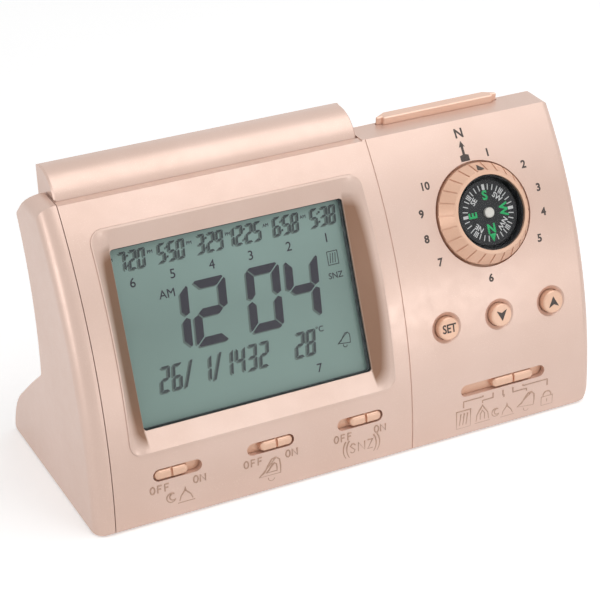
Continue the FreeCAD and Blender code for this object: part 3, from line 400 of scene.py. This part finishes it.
FINISHES = {
    "rose_gold_body": painted(
        "rose_gold_body", shade(220, 190, 175), shade(225, 196, 182),
        flake=shade(244, 222, 210), metallic=0.4, gloss=0.38).material,
    # The bezel's deep_shade is painted shade for the deep side walls next to the window.
    "rose_gold_bezel": funnel(
        "rose_gold_bezel", shade(219, 189, 174), shade(226, 198, 184), deep_shade=shade(150, 111, 87),
        flake=shade(244, 222, 210), metallic=0.3, gloss=0.4).material,
    "peach_controls": painted(
        "peach_controls", shade(230, 186, 158), shade(236, 194, 168),
        flake=shade(250, 218, 194), metallic=0.3, gloss=0.4).material,
    "clear_window": clear("clear_window"),
    "lcd_glass": display_glass("lcd_glass"),
    "light_guide": moulded("light_guide", shade(228, 230, 226), shade(240, 241, 238), 0.3),
    "foam": foamed("foam"),
    "contact_strip": moulded("contact_strip", shade(150, 120, 104), shade(176, 142, 122), 0.6),
    "white_moulding": moulded("white_moulding", shade(226, 224, 218), shade(236, 234, 229), 0.45),
    "circuit_board": circuit_board("circuit_board"),
    "black_component": moulded("black_component", shade(26, 26, 28), shade(40, 40, 42), 0.55, grain=0.0003),
    "steel": metal("steel", shade(150, 152, 156), shade(190, 192, 196), 0.3),
    "spring_steel": metal("spring_steel", shade(168, 168, 166), shade(206, 206, 204), 0.26),
    "compass_black": moulded(
        "compass_black", shade(20, 21, 24), shade(32, 33, 37), 0.45, grain=0.0005, depth=0.000002),
    "pivot_brass": metal("pivot_brass", shade(176, 140, 72), shade(212, 178, 104), 0.28),
    "hub_cap": moulded(
        "hub_cap", shade(238, 234, 226), shade(248, 245, 238), 0.3, depth=0.000004, Metallic=0.3),
    "magnet": metal("magnet", shade(70, 70, 72), shade(96, 96, 98), 0.45),
    "basket_steel": metal("basket_steel", shade(150, 146, 132), shade(186, 182, 166), 0.38),
    "cone_paper": paper("cone_paper"),
    "cell_case": cell_case("cell_case"),
    "foot_rubber": moulded(
        "foot_rubber", shade(36, 36, 37), shade(52, 52, 53), 0.75, grain=0.0004, depth=0.00003),
}

# A CAD node's material carries the name of its slot in the record, and a number after a dot if taken.
for node in frame["nodes"].values():
    for holder in node.material_slots:
        holder.material = FINISHES[holder.material.name.split(".")[0]]

key_paint = painted(
    "key_paint", shade(240, 200, 178), shade(243, 207, 186),
    flake=shade(250, 220, 200), metallic=0.3, gloss=0.4).material
for holder in frame["nodes"]["light_key"].material_slots:
    holder.material = key_paint

# The moulded signs get a darker paint than the body: painted shade standing in for the shade of their raised
# strokes.
relief = painted(
    "relief", shade(180, 146, 126), shade(190, 157, 137),
    flake=shade(222, 192, 172), metallic=0.3, gloss=0.42).material

print_ink = ink("print_ink", shade(62, 52, 48), shade(78, 67, 62))
segment_ink = ink("segment_ink", shade(44, 42, 54), shade(54, 52, 64), 0.4)
faint_ink = ink("faint_ink", shade(58, 66, 68), shade(70, 78, 80), 0.4)
shade_ink = ink("shade_ink", shade(98, 114, 110), shade(108, 125, 120), 0.4)
card_white = ink("card_white", shade(226, 228, 228), shade(244, 245, 245))
card_green = ink("card_green", shade(36, 190, 108), shade(56, 210, 128))


# ---------------------------------------------------------------- drawing tools


def dressed(piece, finish, body):
    """Gives a new piece its finish and the body that it rides on."""
    bpy.context.scene.collection.objects.link(piece)
    piece.data.materials.append(finish)
    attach(piece, body)
    return piece


def plates(name, rings, place, low, high, finish, body):
    """Thin plates with the given closed outlines, between two heights."""
    work = bmesh.new()
    for ring in rings:
        lower = [work.verts.new(place(x, y, low)) for x, y in ring]
        upper = [work.verts.new(place(x, y, high)) for x, y in ring]
        work.faces.new(upper)
        work.faces.new(lower[::-1])
        for n in range(len(ring)):
            work.faces.new((lower[n - 1], lower[n], upper[n], upper[n - 1]))
    bmesh.ops.recalc_face_normals(work, faces=work.faces)
    mesh = bpy.data.meshes.new(name)
    work.to_mesh(mesh)
    work.free()
    return dressed(bpy.data.objects.new(name, mesh), finish, body)


def strips(name, strokes, place, width, low, high, finish, body):
    """Flat printed lines of a width along strokes."""
    rings = []
    for stroke in strokes:
        for (x0, y0), (x1, y1) in zip(stroke, stroke[1:]):
            length = math.hypot(x1 - x0, y1 - y0)
            u, v = (x1 - x0) / length * width / 2, (y1 - y0) / length * width / 2
            rings.append([
                (x0 - u + v, y0 - v - u), (x1 + u + v, y1 + v - u),
                (x1 + u - v, y1 + v + u), (x0 - u - v, y0 - v + u),
            ])
    return plates(name, rings, place, low, high, finish, body)


TEXT_SCALE = 1000  # letters are made at this many times their size, where their filling is sound
CAP_SHARE = 0.69  # the built-in font's capitals are this share of its size


def letters(name, words, place, low, high, finish, body, weight):
    """Words given as (text, x, y, cap height, turn), as thin letters between two heights.

    Their strokes are thickened by a weight on each side.
    """
    work = bmesh.new()
    for text, x, y, height, turn in words:
        curve = bpy.data.curves.new(name, "FONT")
        curve.body = text
        curve.align_x = "CENTER"
        curve.align_y = "CENTER"
        curve.size = TEXT_SCALE * height / CAP_SHARE
        curve.bevel_depth = TEXT_SCALE * weight
        curve.bevel_resolution = 0
        curve.extrude = TEXT_SCALE * (high - low) / 2
        curve.resolution_u = 4
        holder = bpy.data.objects.new(name, curve)
        mesh = bpy.data.meshes.new_from_object(holder)
        turned = Matrix.Translation((x, y, (low + high) / 2)) @ Matrix.Rotation(turn, 4, "Z")
        flatter = Matrix.Scale((high - low) / (high - low + 2 * weight), 4, (0, 0, 1))
        mesh.transform(turned @ flatter @ Matrix.Scale(1 / TEXT_SCALE, 4))
        work.from_mesh(mesh)
        bpy.data.objects.remove(holder)
        bpy.data.meshes.remove(mesh)
        bpy.data.curves.remove(curve)
    for vert in work.verts:
        vert.co = place(*vert.co)
    bmesh.ops.remove_doubles(work, verts=work.verts, dist=1e-7)
    mesh = bpy.data.meshes.new(name)
    work.to_mesh(mesh)
    work.free()
    return dressed(bpy.data.objects.new(name, mesh), finish, body)


def beads(name, strokes, place, radius, finish, body):
    """Raised round lines along strokes on the face.

    They lie lower towards the face's foot, so that none stands out past it.
    """
    clearance = 0.00001
    curve = bpy.data.curves.new(name, "CURVE")
    curve.dimensions = "3D"
    curve.bevel_depth = radius
    curve.bevel_resolution = 2
    curve.use_fill_caps = True
    for stroke in strokes:
        spline = curve.splines.new("POLY")
        spline.points.add(len(stroke) - 1)
        for point, (x, y) in zip(spline.points, stroke):
            behind_foot = FACE_RADIUS * (1 - math.cos(y / FACE_RADIUS))
            proud = min(radius, behind_foot - clearance)
            point.co = (*place(x, y, proud - radius), 1)
    return dressed(bpy.data.objects.new(name, curve), finish, body)


def arc(x, y, radius, start, end, steps=10, squeeze=1.0):
    """Points round part of a circle or, squeezed across, an ellipse; degrees."""
    turns = (math.radians(start + (end - start) * n / steps) for n in range(steps + 1))
    return [(x + squeeze * radius * math.cos(turn), y + radius * math.sin(turn)) for turn in turns]


def moved(strokes, x, y, size=1.0, turn=0.0):
    """Strokes or outlines turned, scaled and moved."""
    c, s = math.cos(turn), math.sin(turn)

    def place(u, v):
        return (x + size * (c * u - s * v), y + size * (s * u + c * v))

    return [[place(u, v) for u, v in stroke] for stroke in strokes]


def copied(node):
    """A copy of a CAD node's mesh, in its place and without a finish."""
    source = frame["nodes"][node]
    mesh = source.data.copy()
    mesh.transform(source.matrix_world)
    mesh.materials.clear()
    return mesh


# ---------------------------------------------------------------- housing with its round corner


def round_corner(node, name):
    """A housing whose lower right edge is cut into strips and bent in onto a quarter circle."""
    mesh = copied(node)
    work = bmesh.new()
    work.from_mesh(mesh)
    start_x, start_z = cad_box[1].x - CORNER_RADIUS, FACE_FOOT.z + CORNER_RADIUS
    cuts, slack = 6, 1e-7

    def reaching():
        """The faces that lie in the corner or reach into it."""
        return [
            face for face in work.faces
            if max(vert.co.x for vert in face.verts) > start_x + slack
            and min(vert.co.z for vert in face.verts) < start_z - slack
        ]

    def inside(face):
        """Whether a face lies wholly in the corner."""
        return (min(vert.co.x for vert in face.verts) > start_x - slack
                and max(vert.co.z for vert in face.verts) < start_z + slack)

    for n in range(cuts):
        reach = CORNER_RADIUS * math.sin(n / cuts * math.pi / 4) / math.sin(math.pi / 4)
        upright = ((start_x + reach, 0, 0), (1, 0, 0))
        level = ((0, 0, start_z - reach), (0, 0, 1))
        for point, way in (upright, level):
            faces = reaching()
            edges = {edge for face in faces for edge in face.edges}
            verts = {vert for face in faces for vert in face.verts}
            geometry = [*verts, *edges, *faces]
            bmesh.ops.bisect_plane(work, geom=geometry, dist=slack, plane_co=point, plane_no=way)
    for face in reaching():
        if inside(face):
            face.smooth = True

    # The square of the corner, with sides of 1, is mapped onto a quarter of a disc.
    for vert in work.verts:
        u, v = (vert.co.x - start_x) / CORNER_RADIUS, (start_z - vert.co.z) / CORNER_RADIUS
        if u > 0 and v > 0:
            vert.co.x = start_x + CORNER_RADIUS * u * math.sqrt(1 - v * v / 2)
            vert.co.z = start_z - CORNER_RADIUS * v * math.sqrt(1 - u * u / 2)
    work.to_mesh(mesh)
    work.free()
    piece = bpy.data.objects.new(name, mesh)
    dressed(piece, FINISHES["rose_gold_body"], "clock_body")
    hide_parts(node)


# ---------------------------------------------------------------- springs under the bar


def press_springs():
    """A copy of the bar's two springs in spring steel, riding on the clock body."""
    springs = bpy.data.objects.new("press_springs", copied("snooze_springs"))
    dressed(springs, FINISHES["spring_steel"], "clock_body")
    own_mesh(springs)
    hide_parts("snooze_springs")


# ---------------------------------------------------------------- display marks

# The lit bars of each digit: a to f clockwise from the top, and g in the middle.
LIT = {
    "0": "abcdef", "1": "bc", "2": "abdeg", "3": "abcdg", "4": "bcfg",
    "5": "acdfg", "6": "acdefg", "7": "abc", "8": "abcdefg", "9": "abcdfg",
}
COLON_STEP = 0.8  # a colon takes up this share of a bar's width
SLASH_STEP = 0.8  # a slash takes up this share of a digit's pitch


def segment(letter, width, height, bar):
    """The outline of one bar of a seven-bar digit about its middle."""
    w, h = width / 2, height / 2
    gap, cut = 0.12 * bar, 0.36 * bar
    if letter in "ad":
        ring = [(w - gap - cut, h), (w - gap - cut / 2, h - cut / 2), (w - gap - bar, h - bar)]
        ring += [(-x, y) for x, y in ring[::-1]]
    elif letter == "g":
        end = w - bar / 2 - gap
        ring = [(-end, 0), (bar / 2 - end, bar / 2), (end - bar / 2, bar / 2)]
        ring += [(end, 0), (end - bar / 2, -bar / 2), (bar / 2 - end, -bar / 2)]
    else:
        ring = [(w - cut / 2, h - gap - cut / 2), (w, h - gap - cut), (w, gap + bar / 4), (w - bar / 2, gap)]
        ring += [(w - bar, gap + bar / 2), (w - bar, h - bar - gap)]
    across = -1 if letter in "ef" else 1
    over = -1 if letter in "cde" else 1
    return [(across * x, over * y) for x, y in ring]


def digits(text, x, y, width, height, bar, pitch, lean):
    """Outlines of a row of leaning seven-bar digits from their left edge; a colon or a slash is narrower."""
    rings = []
    for sign in text:
        step = pitch
        if sign in LIT:
            shapes = [segment(letter, width, height, bar) for letter in LIT[sign]]
        elif sign == ":":
            step = COLON_STEP * bar
            w = bar / 2
            dot = [(-w, -w), (w, -w), (w, w), (-w, w)]
            shapes = moved([dot], 0, height / 4) + moved([dot], 0, -height / 4)
        elif sign == "/":
            step = SLASH_STEP * pitch
            w, rise = bar / 2, height / 2
            tip = 0.25 * rise
            shapes = [[(-tip - w, -rise), (-tip + w, -rise), (tip + w, rise), (tip - w, rise)]]
        for ring in shapes:
            rings.append([(x + step / 2 + u + lean * v, y + v) for u, v in ring])
        x += step
    return rings


def display_marks():
    """The dark marks on the display: six small times, the time, a date, a temperature and small signs.

    The digits have soft shades behind them, which real ones throw on the reflector.
    """
    off_centre = 0.00035  # the marks stand this much to the right of the window's middle
    place = placed(face_frame(display_x + off_centre, DISPLAY_HEIGHT, -GLASS_DEPTH))
    low, high = -0.00001, 0.00004
    shade_x, shade_y = -0.0007, -0.0004
    body = "clock_body"

    large = {"y": 0.0029, "width": 0.0129, "height": 0.0228, "bar": 0.0030, "pitch": 0.0150, "lean": 0.09}
    time = digits("1", -0.0331, **large) + digits("2", -0.0188, **large) + digits("04", 0.0019, **large)
    plates("display_time", time, place, low, high, segment_ink, body)
    plates("display_time_shade", moved(time, shade_x, shade_y), place, low, high / 2, shade_ink, body)

    small = {"y": 0.0263, "width": 0.00275, "height": 0.0067, "bar": 0.00075, "pitch": 0.00325, "lean": 0.10}
    column, right_edge = 0.01459, -0.0309
    readings = []
    for n, text in enumerate(("7:20", "5:50", "3:29", "12:25", "6:58", "5:38")):
        length = small["pitch"] * (len(text) - 1) + COLON_STEP * small["bar"]
        readings += digits(text, right_edge + column * n - length, **small)
    medium = {"y": -0.0164, "width": 0.0036, "height": 0.0090, "bar": 0.00095, "lean": 0.15}
    readings += digits("26/", -0.0346, pitch=0.0046, **medium)
    readings += digits("1/1432", -0.0190, pitch=0.0046, **medium)
    readings += digits("28", 0.0173, pitch=0.0043, **medium)
    plates("display_readings", readings, place, low, high, faint_ink, body)
    shades = moved(readings, shade_x, shade_y)
    plates("display_readings_shade", shades, place, low, high / 2, shade_ink, body)

    label_column = 0.01479
    words = [(str(6 - n), -0.0374 + label_column * n, 0.0184, 0.0032, 0) for n in range(6)]
    words += [("AM", -0.0259, 0.0121, 0.0029, 0), ("SNZ", 0.0377, 0.0047, 0.0021, 0)]
    words += [("°C", 0.0278, -0.0127, 0.0020, 0), ("7", 0.0252, -0.0262, 0.0030, 0)]
    for n, half in enumerate(("PM", "PM", "PM", "PM", "AM", "AM")):
        words.append((half, -0.0439 + column * n, 0.0276, 0.0011, 0))
    letters("display_words", words, place, low, high, segment_ink, body, weight=0.00004)

    signs = moved(bell(0.0046), 0.0366, -0.0204, turn=-0.35) + moved(page(0.0048), 0.0377, 0.0087)
    strips("display_signs", signs, place, 0.00030, low, high, faint_ink, body)


# ---------------------------------------------------------------- prints


def printed_marks():
    """Numbers round the selector, the arrow over it and the signs on the buttons."""
    place = face_placed(dial_x)
    low, high = -0.00005, 0.00003
    cap, reach = 0.0027, 0.0250

    # 1 and 6 stand over and under the ring, 2 to 5 and 10 to 7 on a circle at its right and left.
    words = [("1", 0.0075, DIAL_HEIGHT + 0.0211, cap, 0)]
    for n, row in enumerate((0.0140, 0.0046, -0.0045, -0.0136)):
        across = math.sqrt(reach ** 2 - row ** 2)
        words.append((str(2 + n), across, DIAL_HEIGHT + row, cap, 0))
        words.append((str(10 - n), -across, DIAL_HEIGHT + row, cap, 0))
    words.append(("6", -0.0015, DIAL_HEIGHT - 0.0236, cap, 0))
    words.append(("N", -0.0017, DIAL_HEIGHT + 0.0301, 0.0033, 0))
    letters("dial_numbers", words, place, low, high, print_ink, "clock_body", weight=0.00016)

    x, top, foot = -0.0020, DIAL_HEIGHT + 0.0274, DIAL_HEIGHT + 0.0197
    side = [(0.0012, top - 0.0024), (0.0005, top - 0.0022), (0.0005, foot + 0.0026)]
    side += [(0.0018, foot + 0.0022), (0.0018, foot)]
    arrow = [(x, top)] + [(x - u, v) for u, v in side] + [(x + u, v) for u, v in side[::-1]]
    plates("dial_arrow", [arrow], place, low, high, print_ink, "clock_body")

    chevron = [(0, 0.0021), (0.0021, -0.0019), (0, -0.0009), (-0.0021, -0.0019)]
    sign_high = 0.00013
    for key, turn in (("down", math.pi), ("up", 0)):
        button_top = placed(face_frame(middle(key + "_button").x, BUTTON_HEIGHT, BUTTON_PROUD))
        sign = moved([chevron], 0, 0, turn=turn)
        plates(key + "_arrow", sign, button_top, 0, sign_high, print_ink, key + "_key")
    button_top = face_frame(middle("set_button").x, BUTTON_HEIGHT, BUTTON_PROUD)
    narrow = placed(button_top @ Matrix.Diagonal((0.8, 1, 1, 1)))
    word = [("SET", 0, 0, 0.0031, 0)]
    letters("set_word", word, narrow, 0, sign_high, print_ink, "set_key", weight=0.00009)


# ---------------------------------------------------------------- moulded signs

RELIEF_RADIUS = 0.00027

# Single-line capitals, 1 high, about x = 0.
CAPS = {
    "O": [arc(0, 0.5, 0.5, 90, 450, 12, 0.62)],
    "F": [[(-0.26, 0), (-0.26, 1), (0.28, 1)], [(-0.26, 0.52), (0.18, 0.52)]],
    "N": [[(-0.36, 0), (-0.36, 1), (0.36, 0), (0.36, 1)]],
    "S": [[(0.28, 0.82), (0.1, 1), (-0.12, 1), (-0.28, 0.78),
           (0.24, 0.28), (0.12, 0.02), (-0.12, 0), (-0.28, 0.18)]],
    "Z": [[(-0.28, 1), (0.28, 1), (-0.28, 0), (0.28, 0)]],
}


def caps(text, x, y, height):
    """A word in single-line capitals, centred at x with its foot at y."""
    pitch = 0.98 * height
    strokes = []
    for n, letter in enumerate(text):
        strokes += moved(CAPS[letter], x + (n - (len(text) - 1) / 2) * pitch, y, height)
    return strokes


def bell(size):
    """A hand bell's outline with its clapper."""
    left = [(0, 1), (-0.2, 0.9), (-0.32, 0.6), (-0.4, 0.25), (-0.62, 0)]
    right = [(-x, y) for x, y in left[::-1]]
    return moved([left + right[1:] + [(-0.62, 0)], arc(0, 0, 0.16, 180, 360, 6)], 0, 0, size)


def crescent_and_dome(size):
    """A crescent beside a dome on its base line."""
    moon = arc(-0.75, 0.45, 0.36, 60, 320, 12) + arc(-0.62, 0.5, 0.26, 310, 70, 10)
    dome = [(-0.15, 0), (-0.05, 0.35), (0.25, 0.72), (0.3, 1), (0.35, 0.72), (0.7, 0.35), (0.85, 0)]
    return moved([moon, dome, [(-0.3, -0.14), (1.0, -0.14)]], 0, 0, size)


def page(size):
    """A page with ruled columns."""
    edge = [(-0.42, 0), (-0.42, 1), (0.42, 1), (0.42, 0), (-0.42, 0)]
    rules = [[(x - 0.05, 0.16), (x + 0.05, 0.84)] for x in (-0.2, 0, 0.2)]
    return moved([edge] + rules, 0, 0, size)


def tower(size):
    """A pointed arch with a narrow one inside it, on a base line."""
    outer = [(-0.42, 0.05), (-0.36, 0.5), (-0.12, 0.85), (0, 1.05), (0.12, 0.85), (0.36, 0.5), (0.42, 0.05)]
    inner = [(-0.14, 0.12), (-0.14, 0.5), (0, 0.7), (0.14, 0.5), (0.14, 0.12)]
    return moved([outer, inner, [(-0.5, -0.05), (0.5, -0.05)]], 0, 0, size)


def padlock(size):
    """A padlock: body and shackle."""
    body = [(-0.34, 0), (-0.34, 0.5), (0.34, 0.5), (0.34, 0), (-0.34, 0)]
    return moved([body, arc(0, 0.55, 0.24, 0, 180, 8), [(0, 0.16), (0, 0.34)]], 0, 0, size)


def waves():
    """Two sound waves on each side of a word."""
    strokes = []
    for side, facing in ((-1, 180), (1, 0)):
        for spread in (0, 0.0014):
            strokes.append(arc(0.0003 + side * spread, 0.0078, 0.0060, facing - 35, facing + 35, 8))
    return strokes


def switch_signs():
    """OFF, ON and the signs under the three switches at the left."""
    bells = moved(bell(0.0080), -0.0002, 0.0052, turn=-0.25)
    bells += moved(bell(0.0040)[:1], 0.0002, 0.0070, turn=-0.25)
    words = caps("OFF", -0.0071, 0.0117, 0.0027) + caps("ON", 0.0078, 0.0117, 0.0027)
    left, right = -1, 1  # the end of its slot at which a knob is shown
    switches = (
        ("azan", left, moved(crescent_and_dome(0.0050), 0.0008, 0.0062)),
        ("alarm", right, bells),
        ("snooze", right, caps("SNZ", 0.0003, 0.0060, 0.0036) + waves()),
    )
    strokes = []
    for name, end, picture in switches:
        slot_x = middle(name + "_switch_knob").x - end * SWITCH_TRAVEL / 2
        strokes += moved(picture + words, slot_x, 0)
    beads("switch_signs", strokes, face_placed(0), RELIEF_RADIUS, relief, "clock_body")


def mode_signs():
    """The five pictures under the mode switch, each led to its stop on the slot."""
    # Each sign's place across from the slot's middle, the height of its foot, and its strokes.
    signs = (
        (-0.0169, 0.0034, page(0.0071)),
        (-0.0088, 0.0040, tower(0.0064)),
        (0.0004, 0.0040, crescent_and_dome(0.0046)),
        (0.0102, 0.0042, moved(bell(0.0068), 0, 0, turn=-0.35)),
        (0.0193, 0.0034, padlock(0.0072)),
    )
    slot_x = 0.0615
    lead_top, outer_bend, inner_bend, lead_foot = 0.0146, 0.0141, 0.0126, 0.0117
    strokes = []
    for n, (x, foot, picture) in enumerate(signs):
        stop = (n - 2) * MODE_STEP
        bend = outer_bend if n in (0, 4) else inner_bend
        strokes += moved(picture, x, foot)
        strokes.append([(stop, lead_top), (stop, bend), (x, bend), (x, lead_foot)])
    strokes = moved(strokes, slot_x, 0)
    beads("mode_signs", strokes, face_placed(0), RELIEF_RADIUS, relief, "clock_body")


# ---------------------------------------------------------------- compass card and ring


def tick(width, turn):
    """The outline of a tick on the card, as a list of one."""
    w, start, end = width / 2, 0.0083, 0.0104
    return moved([[(-w, start), (w, start), (w, end), (-w, end)]], 0, 0, turn=turn)


def compass_marks():
    """Letters and ticks on the compass card, and the pointer on the ring."""
    card = placed(face_frame(dial_x, DIAL_HEIGHT, CARD_PROUD))
    low, high = -0.00002, 0.00005
    main, corner = [], []
    for n, name in enumerate(("S", "SE", "E", "NE", "N", "NW", "W", "SW")):
        turn = n * math.pi / 4
        if len(name) == 2:
            words, reach, cap = corner, 0.0068, 0.0019
        else:  # the arrowhead stands outside the N
            words, reach, cap = main, 0.0056 if name == "N" else 0.0062, 0.0032
        words.append((name, -reach * math.sin(turn), reach * math.cos(turn), cap, turn))
    letters("card_letters", main, card, low, high, card_green, "compass_disc", weight=0.00016)
    letters("card_corners", corner, card, low, high, card_white, "compass_disc", weight=0.00006)

    # 32 ticks: wide at the main points but for the arrowhead's, and three close ones between them.
    thin, wide, close = 0.00034, 0.0011, 0.064
    ticks = []
    for n in range(32):
        turn = n * math.pi / 16
        if n % 8 == 4:
            ticks += tick(thin, turn - close) + tick(thin, turn) + tick(thin, turn + close)
        elif n != 16:
            ticks += tick(thin if n % 8 else wide, turn)
    plates("card_ticks", ticks, card, low, high, card_white, "compass_disc")
    head = moved([[(0, 0.0106), (-0.0014, 0.0077), (0.0014, 0.0077)]], 0, 0, turn=math.pi)
    plates("card_arrowhead", head, card, low, high + 0.00003, card_green, "compass_disc")

    def on_cone(x, y, height):
        """A point over the ring's cone."""
        radius = math.hypot(x, y)
        share = (DIAL_RADIUS - radius) / (DIAL_RADIUS - DIAL_TOP_RADIUS)
        rise = DIAL_BASE + share * (DIAL_PROUD - DIAL_BASE)
        return face_frame(dial_x, DIAL_HEIGHT) @ Vector((x, y, rise + height))

    foot = [(-0.0014, 0.0158), (-0.0007, 0.0157), (0, 0.0156), (0.0007, 0.0157), (0.0014, 0.0158)]
    pointer = [(0, 0.0177)] + foot
    plates("ring_pointer", [pointer], on_cone, -0.0003, 0.00008, print_ink, "selector")


# ---------------------------------------------------------------- floor, light and camera

FLOOR_REACH = 3.0
FLOOR_GLOW = 0.38
SKY_FILL = 0.46
LAMPS_AIM = Vector((0, 0, 0.05))

# Fitted to the object's outline in the photograph.
CAMERA_PLACE = (-0.29922, -0.58180, 0.40832)
CAMERA_WAY = Vector((0.3984, 0.7806, -0.4815))
CAMERA_LENS = 123.3


def seen(nodes, links):
    """1 for rays that show the background: straight to the eye, in gloss or through glass."""
    path = nodes.new("ShaderNodeLightPath")
    level = path.outputs["Is Camera Ray"]
    for way in ("Is Glossy Ray", "Is Transmission Ray"):
        most = nodes.new("ShaderNodeMath")
        most.operation = "MAXIMUM"
        links.new(level, most.inputs[0])
        links.new(path.outputs[way], most.inputs[1])
        level = most.outputs[0]
    return level


def floor():
    """A plain white floor that keeps the object's shadow."""
    mesh = bpy.data.meshes.new("floor")
    corners = [(FLOOR_REACH * x, FLOOR_REACH * y, 0) for x, y in ((-1, -1), (1, -1), (1, 1), (-1, 1))]
    mesh.from_pydata(corners, [], [(0, 1, 2, 3)])
    ground = bpy.data.objects.new("floor", mesh)
    bpy.context.scene.collection.objects.link(ground)
    finish = Finish("floor_white", Specular_IOR_Level=0.0)
    two_tone(finish, grain=0.3, dark=shade(243, 243, 243), light=shade(245, 245, 245))
    finish.rough(finish.noise(grain=0.01), 0.8, 0.9)
    finish.shader.inputs["Emission Color"].default_value = (1, 1, 1, 1)
    glow = finish.span(seen(finish.nodes, finish.links), 0, 1, 0, FLOOR_GLOW)
    finish.links.new(glow, finish.shader.inputs["Emission Strength"])
    mesh.materials.append(finish.material)


def sky():
    """White where it is seen, a softer fill to everything else."""
    world = bpy.data.worlds.new("studio")
    bpy.context.scene.world = world
    world.use_nodes = True
    nodes, links = world.node_tree.nodes, world.node_tree.links
    back = nodes["Background"]
    level = nodes.new("ShaderNodeMapRange")
    level.inputs["To Min"].default_value = SKY_FILL
    level.inputs["To Max"].default_value = 1.0
    links.new(seen(nodes, links), level.inputs["Value"])
    links.new(level.outputs["Result"], back.inputs["Strength"])
    back.inputs["Color"].default_value = (1, 1, 1, 1)


def lamp(name, place, size, power):
    """A square soft lamp that faces the object."""
    light = bpy.data.lights.new(name, "AREA")
    light.size = size
    light.energy = power
    holder = bpy.data.objects.new(name, light)
    bpy.context.scene.collection.objects.link(holder)
    holder.location = place
    holder.rotation_euler = (LAMPS_AIM - Vector(place)).to_track_quat("-Z", "Y").to_euler()


def camera():
    """A camera at the photograph's place, above the object's left, that fills a square frame with it."""
    lens = bpy.data.cameras.new("camera")
    lens.lens = CAMERA_LENS
    lens.sensor_width = 36.0
    holder = bpy.data.objects.new("camera", lens)
    bpy.context.scene.collection.objects.link(holder)
    holder.location = CAMERA_PLACE
    holder.rotation_euler = CAMERA_WAY.to_track_quat("-Z", "Y").to_euler()
    bpy.context.scene.camera = holder


# ---------------------------------------------------------------- the scene

round_corner("front_housing", "front_shell")
round_corner("rear_housing", "rear_shell")
press_springs()
display_marks()
printed_marks()
switch_signs()
mode_signs()
compass_marks()

floor()
sky()
lamp("key", place=(0.35, -0.30, 1.0), size=0.9, power=4.5)
lamp("front", place=(0.46, -1.04, 0.13), size=0.2, power=0.92)
lamp("left", place=(-1.1, -0.15, 0.25), size=0.5, power=1.9)
camera()
bpy.context.scene.view_settings.view_transform = "Standard"
